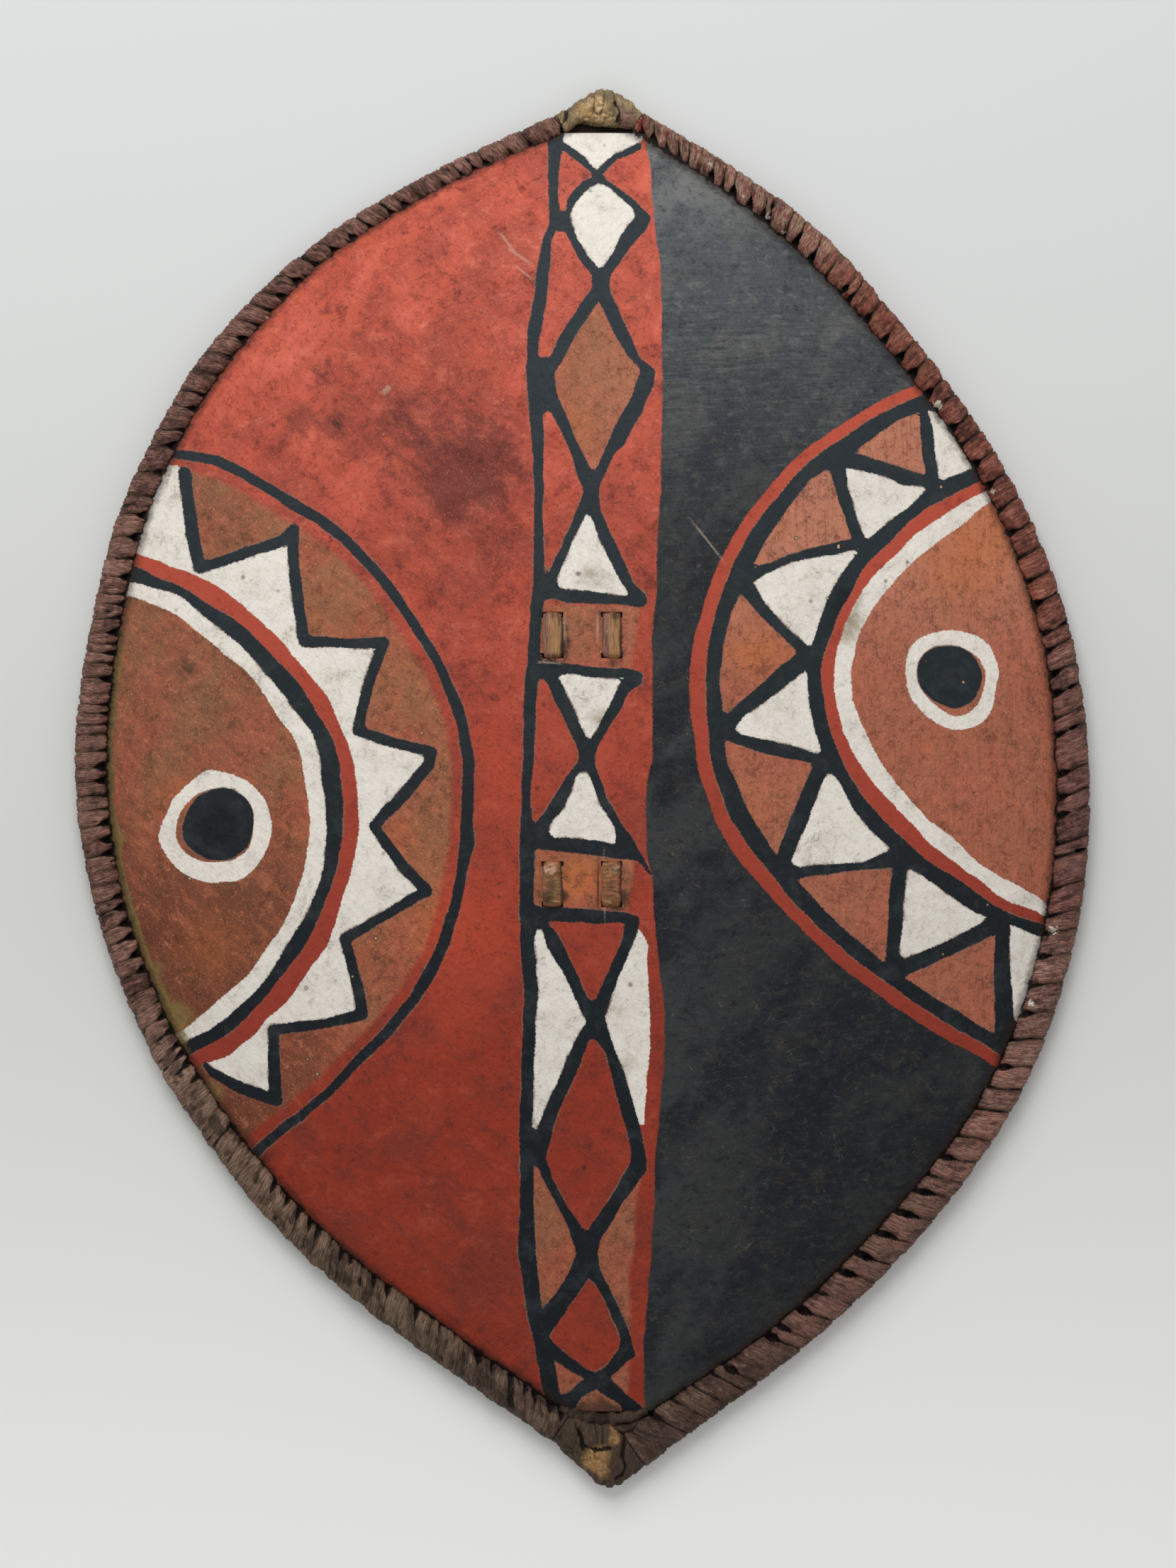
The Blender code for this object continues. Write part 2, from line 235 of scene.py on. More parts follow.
# The painting on the hide. Five paints lie over each other: a red ground with a charcoal field
# at the right, then brown, red bands, white, and black on top. Points are photo pixels.
FAR = 40.0
TOP_WHITE = (
    (786, 180), (796, 201), (807, 210), (825, 222), (837, 236), (844, 240), (855, 227), (870, 215),
    (890, 206), (902, 201), (912, 180),
)
WHITE_DIAMOND = (
    (845, 258), (830, 267), (812, 287), (803, 303), (815, 337), (830, 360), (845, 379), (852, 376),
    (865, 357), (877, 332), (896, 305), (892, 295), (877, 280), (860, 265),
)
BROWN_DIAMOND = (
    (845, 426), (835, 440), (820, 460), (805, 487), (784, 527), (786, 550), (800, 590), (812, 620),
    (836, 667), (842, 657), (855, 630), (867, 602), (890, 560), (902, 527), (900, 517), (885, 502),
    (862, 462),
)
WHITE_PEAK = (
    (829, 721), (807, 765), (786, 817), (785, 827), (797, 831), (840, 835), (882, 841), (886, 837),
    (870, 812), (847, 760),
)
UPPER_PANEL = ((758, 852), (900, 857), (896, 900), (890, 944), (758, 932))
WHITE_DROP = (
    (787, 956), (792, 952), (805, 951), (827, 955), (880, 958), (860, 992), (840, 1030),
    (830, 1046), (820, 1025), (797, 975),
)
WHITE_HILL = (
    (826, 1086), (816, 1092), (805, 1120), (795, 1140), (780, 1157), (772, 1170), (780, 1181),
    (825, 1184), (845, 1186), (867, 1192), (870, 1182), (865, 1165), (845, 1130), (832, 1095),
)
LOWER_PANEL = ((752, 1198), (895, 1210), (886, 1284), (752, 1279))
RED_DROP = (
    (770, 1301), (882, 1302), (880, 1320), (860, 1367), (842, 1407), (836, 1413), (830, 1409),
    (812, 1370), (800, 1342), (787, 1320),
)
LEFT_WHITE = (
    (759, 1306), (764, 1312), (770, 1331), (797, 1377), (820, 1427), (826, 1440), (807, 1477),
    (780, 1540), (757, 1593), (751, 1594), (752, 1540), (755, 1470), (759, 1390), (754, 1320),
)
RIGHT_WHITE = (
    (900, 1312), (910, 1332), (910, 1355), (915, 1440), (916, 1480), (909, 1522), (907, 1585),
    (902, 1585), (892, 1545), (872, 1495), (852, 1437), (865, 1400), (885, 1352),
)
RED_DIAMOND = (
    (836, 1465), (842, 1469), (855, 1487), (865, 1530), (880, 1585), (892, 1627), (890, 1640),
    (870, 1677), (842, 1717), (829, 1736), (822, 1732), (800, 1700), (780, 1662), (771, 1632),
    (780, 1590), (800, 1540), (820, 1497), (830, 1470),
)
LEFT_BROWN = (
    (752, 1640), (759, 1647), (782, 1695), (805, 1740), (814, 1772), (800, 1800), (787, 1820),
    (766, 1847), (752, 1800),
)
RIGHT_BROWN = (
    (902, 1664), (880, 1697), (862, 1722), (843, 1770), (855, 1808), (880, 1858), (889, 1872),
    (886, 1800), (893, 1760), (896, 1700),
)
RED_KITE = (
    (830, 1802), (840, 1810), (862, 1855), (876, 1890), (872, 1905), (852, 1930), (840, 1937),
    (827, 1932), (795, 1907), (775, 1885), (782, 1872), (812, 1832),
)
SMALL_BROWNS = (
    ((776, 1917), (795, 1930), (825, 1945), (800, 1967), (792, 1967), (780, 1935)),
    ((884, 1922), (860, 1944), (882, 1965), (885, 1947)),
    ((841, 1960), (875, 1982), (878, 2000), (800, 2000), (812, 1985), (820, 1972)),
)
TOP_LINES = (
    (780, 180), (905, 180), (905, 212), (872, 224), (851, 245), (857, 254), (880, 270), (900, 287),
    (919, 306), (912, 322), (880, 362), (860, 390), (858, 412), (835, 412), (834, 387), (817, 365),
    (805, 342), (797, 327), (785, 326), (785, 299), (799, 297), (801, 282), (807, 272), (822, 257),
    (836, 251), (834, 243), (820, 233), (786, 208),
)
BROWN_DIAMOND_LINES = (
    (836, 398), (857, 398), (860, 412), (885, 462), (905, 507), (920, 517), (924, 525), (922, 545),
    (905, 582), (880, 625), (865, 642), (845, 687), (843, 708), (820, 710), (822, 690), (805, 637),
    (781, 587), (776, 577), (767, 583), (766, 600), (750, 600), (744, 500), (757, 503), (775, 502),
    (790, 472), (805, 450), (834, 407),
)
PEAK_LINES = (
    (821, 698), (843, 698), (847, 720), (872, 775), (895, 825), (910, 837), (914, 850), (905, 859),
    (895, 856), (860, 852), (800, 851), (780, 843), (757, 850), (757, 812), (774, 810), (785, 785),
    (805, 740),
)
DROP_LINES = (
    (752, 932), (782, 934), (820, 939), (895, 945), (906, 950), (905, 965), (890, 975), (865, 1015),
    (845, 1050), (838, 1072), (818, 1072), (814, 1055), (792, 1007), (770, 962), (752, 950),
)
HILL_LINES = (
    (819, 1064), (838, 1064), (840, 1082), (857, 1125), (880, 1167), (890, 1177), (900, 1196),
    (911, 1212), (921, 1240), (917, 1239), (902, 1215), (870, 1212), (820, 1205), (748, 1197),
    (742, 1170), (757, 1160), (782, 1122), (814, 1077),
)
CROSS_LINES = (
    (745, 1278), (820, 1281), (882, 1287), (904, 1293), (900, 1312), (885, 1352), (865, 1400),
    (852, 1437), (862, 1467), (882, 1520), (902, 1585), (913, 1632), (913, 1650), (880, 1697),
    (847, 1750), (842, 1775), (814, 1775), (812, 1760), (795, 1717), (770, 1670), (759, 1647),
    (745, 1640),
)
KITE_LINES = (
    (814, 1762), (843, 1762), (845, 1785), (867, 1832), (892, 1890), (897, 1912), (884, 1920),
    (860, 1943), (882, 1966), (905, 1982), (912, 2010), (780, 2010), (765, 1900), (755, 1855),
    (766, 1847), (787, 1820), (814, 1770),
)
SPINE = (
    (771, 796, 185), (774, 791, 223), (773, 787, 271), (775, 790, 310), (766, 778, 340),
    (758, 775, 380), (753, 772, 420), (746, 765, 455), (742, 758, 496), (743, 762, 540),
    (748, 766, 594), (753, 767, 660), (753, 765, 729), (753, 768, 810), (748, 765, 870),
    (745, 762, 920), (739, 757, 989), (737, 752, 1079), (736, 748, 1132), (734, 754, 1180),
    (734, 754, 1250), (733, 753, 1306), (738, 756, 1390), (738, 756, 1469), (734, 752, 1559),
    (733, 753, 1700), (731, 756, 1761), (739, 761, 1822), (751, 773, 1884), (762, 785, 1940),
    (772, 795, 1985),
)
CHARCOAL_BORDER = (
    (910, 180), (917, 233), (920, 271), (925, 330), (932, 380), (934, 469), (934, 559), (933, 660),
    (932, 694), (927, 765), (927, 819), (920, 900), (920, 989), (921, 1061), (913, 1114),
    (912, 1180), (920, 1245), (924, 1306), (933, 1390), (938, 1460), (931, 1559), (923, 1660),
    (923, 1700), (917, 1792), (909, 1884), (910, 2010),
)
LEFT_ARC = (
    (225, 636, 13), (250, 640, 13), (300, 649, 15), (340, 667, 15), (380, 691, 15), (420, 716, 15),
    (460, 740, 16), (500, 774, 15), (530, 805, 14), (556, 839, 14), (580, 874, 14), (609, 920, 14),
    (629, 960, 15), (646, 1000, 16), (655, 1040, 16), (661, 1080, 17), (660, 1120, 16),
    (658, 1160, 18), (659, 1190, 21), (652, 1225, 15), (645, 1262, 15), (636, 1300, 17),
    (622, 1340, 17), (601, 1380, 17), (575, 1420, 16), (543, 1460, 15), (502, 1500, 14),
    (463, 1540, 13), (416, 1580, 14), (390, 1600, 14), (366, 1621, 14), (345, 1640, 14),
)
ZIGZAG = (
    (261, 666, 17), (272, 760, 18), (281, 802, 17), (303, 794, 15), (400, 761, 16), (414, 748, 18),
    (414, 800, 16), (422, 860, 17), (430, 905, 16), (480, 907, 14), (541, 907, 15), (521, 960, 15),
    (511, 1000, 15), (504, 1032, 15), (560, 1048, 15), (610, 1060, 15), (604, 1080, 17),
    (571, 1120, 17), (526, 1165, 15), (567, 1220, 16), (603, 1257, 16), (540, 1293, 14),
    (486, 1325, 15), (501, 1380, 16), (511, 1430, 17), (460, 1443, 14), (386, 1453, 16),
    (387, 1520, 18), (390, 1552, 17), (340, 1536, 16), (300, 1513, 12), (289, 1501, 8),
)
LEFT_RED_OUTER = (
    (150, 768), (197, 782), (240, 797), (280, 814), (320, 836), (360, 870), (400, 907), (440, 956),
    (463, 985), (480, 1025), (500, 1077), (505, 1130), (504, 1180), (497, 1225), (485, 1260),
    (465, 1325), (440, 1362), (405, 1412), (375, 1440), (360, 1459), (338, 1477), (322, 1490),
    (292, 1499), (240, 1515),
)
LEFT_BLACK_INNER = (
    (150, 818), (187, 822), (220, 830), (260, 845), (300, 879), (340, 912), (380, 957), (420, 1005),
    (445, 1047), (455, 1100), (460, 1150), (456, 1220), (435, 1285), (405, 1330), (380, 1375),
    (340, 1417), (300, 1450), (265, 1467), (230, 1480),
)
LEFT_RED_INNER = (
    (150, 788), (185, 797), (220, 813), (260, 830), (300, 856), (340, 881), (380, 920), (420, 962),
    (450, 1008), (475, 1062), (483, 1120), (482, 1180), (472, 1232), (457, 1275), (435, 1325),
    (402, 1370), (360, 1422), (320, 1460), (282, 1480), (240, 1497),
)
LEFT_WHITE_INNER = (
    (150, 832), (181, 840), (220, 854), (260, 876), (320, 925), (357, 957), (385, 1000),
    (418, 1045), (431, 1105), (437, 1160), (430, 1220), (410, 1285), (375, 1340), (350, 1375),
    (315, 1405), (262, 1450), (230, 1468),
)
LEFT_RING = (
    (303, 1087), (343, 1099), (372, 1127), (383, 1167), (373, 1207), (345, 1236), (307, 1246),
    (270, 1239), (240, 1216), (224, 1180), (237, 1143), (250, 1120), (283, 1091),
)
LEFT_RING_HOLE = (
    (310, 1111), (340, 1121), (356, 1145), (357, 1180), (345, 1205), (313, 1217), (280, 1213),
    (257, 1199), (247, 1175), (253, 1150), (267, 1130), (287, 1116),
)
LEFT_DISC = (
    (310, 1111), (338, 1119), (355, 1142), (357, 1170), (348, 1197), (322, 1213), (295, 1212),
    (268, 1197), (257, 1175), (264, 1146), (283, 1121),
)
RIGHT_ARC = (
    (1330, 537, 16), (1290, 553, 17), (1260, 565, 17), (1220, 587, 16), (1180, 615, 17),
    (1140, 642, 17), (1100, 683, 17), (1060, 732, 18), (1040, 765, 18), (1020, 804, 19),
    (1003, 852, 20), (991, 900, 21), (985, 945, 23), (985, 1000, 23), (989, 1040, 20),
    (995, 1080, 20), (1007, 1120, 20), (1021, 1160, 21), (1046, 1200, 23), (1080, 1240, 21),
    (1114, 1280, 20), (1153, 1320, 20), (1198, 1360, 21), (1252, 1400, 21), (1310, 1440, 21),
    (1345, 1460, 20), (1382, 1480, 18), (1412, 1498, 18), (1440, 1515, 18),
)
RIGHT_RED_OUTER = (
    (1420, 660), (1377, 681), (1340, 699), (1300, 722), (1260, 760), (1220, 800), (1200, 837),
    (1180, 877), (1162, 922), (1158, 955), (1165, 1005), (1181, 1058), (1205, 1105), (1240, 1150),
    (1280, 1190), (1320, 1222), (1360, 1247), (1400, 1275), (1440, 1295), (1475, 1304),
    (1510, 1312),
)
RIGHT_WHITE_OUTER = (
    (1430, 672), (1382, 697), (1340, 720), (1300, 747), (1260, 787), (1220, 827), (1200, 865),
    (1182, 912), (1177, 960), (1184, 1012), (1200, 1055), (1225, 1095), (1260, 1135), (1300, 1177),
    (1340, 1212), (1380, 1240), (1420, 1270), (1460, 1285), (1475, 1292), (1510, 1300),
)
RIGHT_WHITE_INNER = (
    (1440, 682), (1395, 709), (1360, 737), (1320, 767), (1280, 800), (1240, 846), (1217, 885),
    (1204, 925), (1200, 965), (1210, 1010), (1235, 1060), (1265, 1105), (1300, 1145), (1340, 1180),
    (1380, 1217), (1420, 1240), (1460, 1264), (1475, 1274), (1510, 1284),
)
RIGHT_RING = (
    (1276, 942), (1284, 915), (1305, 897), (1340, 889), (1375, 894), (1397, 913), (1409, 945),
    (1404, 975), (1400, 998), (1385, 1020), (1352, 1030), (1320, 1020), (1297, 1000), (1281, 974),
)
RIGHT_RING_HOLE = (
    (1293, 945), (1300, 925), (1318, 913), (1345, 911), (1372, 920), (1386, 935), (1390, 960),
    (1384, 985), (1372, 1002), (1350, 1010), (1333, 1005), (1312, 988), (1297, 968),
)
RIGHT_DISC = (
    (1294, 950), (1300, 927), (1318, 914), (1345, 911), (1370, 920), (1384, 942), (1383, 968),
    (1372, 988), (1347, 999), (1320, 990), (1300, 972),
)
RIGHT_WHITES = (
    ((1309, 578), (1325, 580), (1372, 660), (1359, 666), (1324, 680), (1320, 640), (1314, 600)),
    ((1194, 659), (1250, 672), (1275, 685), (1304, 686), (1306, 691), (1280, 717), (1222, 761),
     (1210, 732), (1197, 690)),
    ((1061, 822), (1080, 809), (1120, 792), (1182, 782), (1214, 772), (1190, 805), (1167, 845),
     (1147, 902), (1142, 915), (1105, 880), (1080, 850)),
    ((1139, 944), (1097, 977), (1050, 1010), (1037, 1028), (1047, 1037), (1113, 1050), (1153, 1063),
     (1158, 1057), (1148, 1030), (1140, 990)),
    ((1170, 1088), (1184, 1102), (1203, 1140), (1230, 1173), (1259, 1200), (1217, 1216),
     (1127, 1223), (1116, 1217), (1137, 1163), (1163, 1098)),
    ((1281, 1225), (1300, 1235), (1330, 1257), (1363, 1280), (1393, 1294), (1347, 1323),
     (1277, 1353), (1268, 1347), (1272, 1307), (1277, 1257)),
    ((1425, 1305), (1470, 1322), (1490, 1330), (1450, 1450), (1432, 1441), (1425, 1360)),
)
RIGHT_BROWNS = (
    ((1204, 639), (1240, 610), (1270, 590), (1297, 580), (1298, 610), (1305, 670), (1260, 655)),
    ((1170, 660), (1142, 677), (1120, 705), (1080, 762), (1060, 801), (1140, 774), (1201, 760),
     (1185, 710)),
    ((1042, 836), (1070, 865), (1125, 920), (1093, 947), (1067, 970), (1020, 1011), (1015, 960),
     (1022, 900), (1031, 865)),
    ((1021, 1044), (1080, 1063), (1148, 1077), (1120, 1140), (1095, 1208), (1060, 1153),
     (1042, 1113), (1028, 1080)),
    ((1123, 1240), (1220, 1227), (1259, 1223), (1252, 1300), (1248, 1358), (1193, 1313),
     (1160, 1280)),
    ((1403, 1317), (1347, 1345), (1275, 1379), (1337, 1418), (1403, 1460)),
)


def curve(points, steps=4):
    """Points on a smooth curve through the given ones."""
    points = np.array(points, float)
    guided = np.vstack((2 * points[:1] - points[1:2], points, 2 * points[-1:] - points[-2:-1]))
    t = np.linspace(0, 1, steps, endpoint=False)[:, None]
    ease, leave, arrive = t * t * (3 - 2 * t), t * (1 - t) ** 2, t * t * (1 - t)
    spans = [
        b + (c - b) * ease + (c - a) / 2 * leave - (d - b) / 2 * arrive
        for a, b, c, d in zip(guided, guided[1:], guided[2:], guided[3:])
    ]
    return np.vstack((*spans, points[-1:]))


def loop(points, steps=3):
    """The same for a closed line."""
    points = list(points)
    return curve([points[-1], *points, points[0], points[1]], steps)[steps:-steps - 1]


def nearby(place, points):
    low, high = points.min(0) - FAR, points.max(0) + FAR
    in_width = (place[0] > low[0]) & (place[0] < high[0])
    return in_width & (place[1] > low[1]) & (place[1] < high[1])


def field(place, *shapes):
    """Distance in pixels to the nearest edge of the filled shapes, below 0 inside them."""
    nearest = np.full(place[0].shape, FAR)
    for corners in shapes:
        corners = np.array(corners, float)
        close = nearby(place, corners)
        x, y = place[0][close], place[1][close]
        gap, inside = np.full(x.shape, FAR * FAR), np.zeros(x.shape, bool)
        for (ax, ay), (bx, by) in zip(corners, np.roll(corners, -1, axis=0)):
            dx, dy = bx - ax, by - ay
            t = np.clip(((x - ax) * dx + (y - ay) * dy) / (dx * dx + dy * dy + 1e-9), 0, 1)
            gap = np.minimum(gap, (x - ax - t * dx) ** 2 + (y - ay - t * dy) ** 2)
            if ay != by:
                inside ^= ((ay > y) != (by > y)) & (x < ax + (y - ay) * dx / dy)
        gap = np.sqrt(gap)
        nearest[close] = np.minimum(nearest[close], np.where(inside, -gap, gap))
    return nearest


def stroke(place, points):
    """Distance in pixels to a painted line, below 0 in it. Each point has the line's width."""
    nearest = np.full(place[0].shape, FAR)
    points = np.array(points, float)
    close = nearby(place, points)
    x, y = place[0][close], place[1][close]
    found = nearest[close]
    for (ax, ay, aw), (bx, by, bw) in zip(points, points[1:]):
        dx, dy = bx - ax, by - ay
        t = np.clip(((x - ax) * dx + (y - ay) * dy) / (dx * dx + dy * dy), 0, 1)
        gap = np.hypot(x - ax - t * dx, y - ay - t * dy) - (aw + (bw - aw) * t) / 2
        found = np.minimum(found, gap)
    nearest[close] = found
    return nearest


def both(*fields):
    return np.maximum.reduce(fields)


def either(*fields):
    return np.minimum.reduce(fields)


def soft(place, spots):
    """Soft round patches, added up."""
    return sum(
        power * np.exp(-((place[0] - x) ** 2 + (place[1] - y) ** 2) / size**2)
        for x, y, size, power in spots
    )


# The painter's hand wavers, so every outline is looked up at a slightly shifted place.
SLOW_WAVER, QUICK_WAVER = (15, 1.3), (5.5, 0.9)


def waver(size, reach, seed):
    return lumps(hide_x, hide_y, size, seed) * reach


place = tuple(
    seen + (waver(*SLOW_WAVER, seed) + waver(*QUICK_WAVER, seed + 1))
    for seen, seed in zip(photo_place(hide_points), (21, 31))
)
FAR_LEFT, FAR_RIGHT = -300, 1900
# How far in pixels a paint stops short of an outline, or runs on under the next one.
UNDERLAP, BROWN_INSET, BROWN_LAP, BROWN_OVERLAP, FRAME_INSET = 2.5, 24, 3, 1.0, 8
STAR_TOP, STAR_BOTTOM = (252, 656), 1501


def filled(line, far):
    """Field of an area that is bounded by a line and runs on far to one side."""
    line = curve(line)[:, :2]
    return field(place, np.vstack((line, (far, line[-1, 1]), (far, line[0, 1]))))


left_arc, right_arc, zigzag = curve(LEFT_ARC), curve(RIGHT_ARC), np.array(ZIGZAG)
left_motif, left_red_disc, left_dark_disc, left_white_disc, left_brown_disc = (
    filled(line, FAR_LEFT)
    for line in (LEFT_ARC, LEFT_RED_OUTER, LEFT_RED_INNER, LEFT_BLACK_INNER, LEFT_WHITE_INNER)
)
right_motif, right_red_disc, right_white_disc, right_brown_disc, charcoal = (
    filled(line, FAR_RIGHT)
    for line in (RIGHT_ARC, RIGHT_RED_OUTER, RIGHT_WHITE_OUTER, RIGHT_WHITE_INNER, CHARCOAL_BORDER)
)
star_end = ((FAR_LEFT, STAR_BOTTOM), (FAR_LEFT, STAR_TOP[1]), STAR_TOP)
left_star = field(place, np.vstack((zigzag[:, :2], star_end)))
left_eye, left_eye_hole, right_eye, right_eye_hole, left_disc, right_disc = (
    field(place, loop(ring))
    for ring in (LEFT_RING, LEFT_RING_HOLE, RIGHT_RING, RIGHT_RING_HOLE, LEFT_DISC, RIGHT_DISC)
)
right_whites, right_browns = field(place, *RIGHT_WHITES), field(place, *RIGHT_BROWNS)
middle_whites = field(
    place, TOP_WHITE, WHITE_DIAMOND, WHITE_PEAK, WHITE_DROP, WHITE_HILL, LEFT_WHITE, RIGHT_WHITE
)
middle_browns = field(
    place, BROWN_DIAMOND, UPPER_PANEL, LOWER_PANEL, LEFT_BROWN, RIGHT_BROWN, *SMALL_BROWNS
)
openings = field(
    place, TOP_WHITE, WHITE_DIAMOND, BROWN_DIAMOND, WHITE_PEAK, WHITE_DROP, WHITE_HILL, RED_DROP,
    LEFT_WHITE, RED_DIAMOND, RED_KITE, *SMALL_BROWNS,
)
middle_lines = field(
    place, TOP_LINES, BROWN_DIAMOND_LINES, PEAK_LINES, DROP_LINES, HILL_LINES, CROSS_LINES,
    KITE_LINES,
)
spine_left = [(left, y) for left, _, y in SPINE]
spine_right = [(right, y) for _, right, y in reversed(SPINE)]
spine = field(place, np.vstack((curve(spine_left), curve(spine_right))))

right_band = stroke(place, right_arc)
brown = either(
    both(left_motif + BROWN_INSET, -left_red_disc - BROWN_LAP), left_white_disc, right_motif,
    middle_browns - BROWN_OVERLAP,
)
red_band = either(
    both(left_red_disc, -left_white_disc), right_band, both(right_red_disc, -right_brown_disc)
)
white = either(
    both(left_white_disc - UNDERLAP, -left_brown_disc), both(left_star, -left_red_disc),
    both(left_eye, -left_eye_hole), both(right_white_disc, -right_brown_disc),
    both(right_eye, -right_eye_hole), right_whites - UNDERLAP, middle_whites - UNDERLAP,
)
right_frame = both(
    right_motif + FRAME_INSET, -right_red_disc, -right_band, -right_whites, -right_browns
)
black = either(
    stroke(place, left_arc), stroke(place, zigzag), both(left_dark_disc, -left_white_disc),
    left_disc, right_frame, right_disc, both(middle_lines, -openings), spine,
)
painting = {
    "charcoal": charcoal, "brown": brown, "red_band": red_band, "white": white, "black": black,
}
# Dark patches: real grime, painted shade in the folds at the upper left, and painted shadow at the
# slits and beside the stitches. Each spot has a place in the photo, a size in pixels and a
# strength.
GRIME_AND_SHADE_SPOTS = (
    (672, 680, 44, 0.5), (630, 625, 60, 0.4), (560, 575, 45, 0.4), (520, 490, 38, 0.4),
    (600, 770, 70, 0.3), (640, 700, 30, 0.35), (690, 650, 30, 0.3), (470, 545, 34, 0.35),
    (560, 470, 30, 0.3), (740, 650, 40, 0.35), (640, 820, 55, 0.25), (420, 592, 24, 0.7),
    (472, 600, 22, 0.6), (455, 520, 25, 0.35), (690, 745, 40, 0.4), (705, 600, 42, 0.4),
    (600, 365, 32, 0.35), (535, 425, 28, 0.45), (600, 700, 50, 0.25), (385, 640, 30, 0.5),
    (560, 1600, 80, 0.3), (600, 1700, 60, 0.3), (690, 1850, 40, 0.35), (480, 1520, 60, 0.25),
    (640, 1480, 50, 0.3), (590, 960, 55, 0.35), (690, 420, 26, 0.3), (690, 900, 30, 0.3),
    (836, 815, 26, 0.55), (848, 1010, 20, 0.8), (875, 1430, 24, 0.45), (884, 1500, 22, 0.5),
    (1192, 880, 30, 0.9), (1196, 840, 20, 0.7), (264, 945, 20, 0.9), (331, 955, 16, 0.4),
    (780, 1440, 30, 0.3), (1150, 830, 30, 0.35), (1090, 1000, 22, 0.3), (600, 1060, 30, 0.3),
    (545, 1000, 26, 0.3), (790, 900, 30, 0.35), (870, 910, 30, 0.3), (780, 1260, 26, 0.6),
    (870, 1262, 22, 0.45), (845, 2000, 30, 0.7), (780, 869, 9, 0.8), (868, 868, 11, 0.9),
    (782, 936, 10, 0.9), (864, 936, 9, 0.7), (779, 1281, 10, 0.9), (870, 1281, 10, 0.9),
    (795, 885, 7, 0.7), (796, 905, 7, 0.8), (795, 925, 8, 0.9), (843, 915, 7, 0.5),
    (876, 895, 7, 0.5), (877, 920, 9, 0.7), (795, 1228, 6, 0.5), (796, 1262, 8, 0.8),
    (842, 1230, 7, 0.5), (844, 1262, 7, 0.5), (884, 1240, 7, 0.5), (884, 1268, 8, 0.7),
    (760, 1262, 7, 0.5), (500, 600, 70, 0.3), (650, 560, 70, 0.42), (700, 800, 70, 0.3),
    (560, 640, 70, 0.35), (720, 700, 50, 0.35), (610, 480, 50, 0.25), (308, 1165, 38, 1.0),
    (640, 640, 60, 0.3), (655, 690, 50, 0.3), (845, 1998, 20, 1.0), (812, 1988, 14, 0.8),
    (880, 1988, 14, 0.8),
)
ORANGE_SPOTS = (
    (818, 1240, 32, 1.0), (1390, 745, 80, 0.6), (1350, 820, 60, 0.4), (1130, 900, 60, 0.4),
    (1060, 925, 40, 0.6), (300, 1330, 70, 0.5), (660, 1300, 80, 0.9), (640, 1420, 70, 0.5),
    (700, 1120, 50, 0.6), (692, 1040, 46, 0.8), (600, 1560, 60, 0.4), (250, 1120, 60, 0.4),
    (560, 1180, 40, 0.4), (380, 640, 40, 0.4), (815, 600, 40, 0.5), (1060, 1130, 50, 0.4),
)
OLIVE_SPOTS = (
    (205, 1370, 36, 0.8), (245, 1440, 34, 0.9), (180, 1300, 22, 0.7), (300, 1540, 26, 0.7),
    (172, 1180, 16, 0.5), (640, 1020, 22, 0.2), (1290, 1000, 18, 0.2), (866, 905, 12, 0.5),
    (262, 1010, 26, 0.5),
)
MARGIN_MIDDLE, MARGIN_HALF, MARGIN_WIDTH = -30, 160, 11.5
margin = eased(-hide_x, 120, 240) * eased(MARGIN_HALF - np.abs(hide_y - MARGIN_MIDDLE), 0, 50)
margin = margin * eased(MARGIN_WIDTH - from_edge, 0, 4.5)
held = {key: np.clip(value, -FAR, FAR) * PIXEL_MM for key, value in painting.items()}
# The painted shadow along the rim is drawn a little wider at the lower left.
lower_left = eased(-hide_y, 120, 230) * eased(-hide_x, -10, 30)
held["from_rim"] = from_edge - EDGE_TUCK - 0.5 * lower_left
held["grime_and_shade"] = soft(place, GRIME_AND_SHADE_SPOTS)
held["orange"] = soft(place, ORANGE_SPOTS)
held["olive"] = margin * 1.1 + soft(place, OLIVE_SPOTS)
hide = rolled("hide", hide_points, held)


# Finishes are built from a few plain steps: add a node, spread a pattern over the piece, and lay
# one colour over another. Lengths of patterns are in mm, colours are the 0 to 255 of a photo.
def new_finish(name, roughness, specular):
    made = bpy.data.materials.new(name)
    made.use_nodes = True
    surface = made.node_tree.nodes["Principled BSDF"]
    surface.inputs["Roughness"].default_value = roughness
    surface.inputs["Specular IOR Level"].default_value = specular
    return made


def add(kind, inputs, **settings):
    """A node in the finish that is being made."""
    made = finish.node_tree.nodes.new(kind)
    for key, value in settings.items():
        setattr(made, key, value)
    for key, value in inputs.items():
        if isinstance(value, bpy.types.NodeSocket):
            finish.node_tree.links.new(value, made.inputs[key])
        else:
            made.inputs[key].default_value = value
    return made


def shown(value, socket="Base Color"):
    finish.node_tree.links.new(value, finish.node_tree.nodes["Principled BSDF"].inputs[socket])


def linear(value):
    return ((value / 255 + 0.055) / 1.055) ** 2.4 if value > 10 else value / 255 / 12.92


def sums(operation, a, b=0.0):
    return add("ShaderNodeMath", {0: a, 1: b}, operation=operation).outputs[0]


def times(a, b):
    return sums("MULTIPLY", a, b)


def plus(a, b):
    return sums("ADD", a, b)


def rise(value, low, high, start=0.0, end=1.0):
    """Smooth step from start to end as the value goes from low to high."""
    inputs = {"Value": value, "From Min": low, "From Max": high, "To Min": start, "To Max": end}
    return add("ShaderNodeMapRange", inputs, interpolation_type="SMOOTHSTEP").outputs[0]


def laid(share, under, over, blend="MIX"):
    colours = [(*map(linear, c), 1.0) if isinstance(c, tuple) else c for c in (under, over)]
    inputs = {0: share, 6: colours[0], 7: colours[1]}
    return add("ShaderNodeMix", inputs, data_type="RGBA", blend_type=blend).outputs[2]


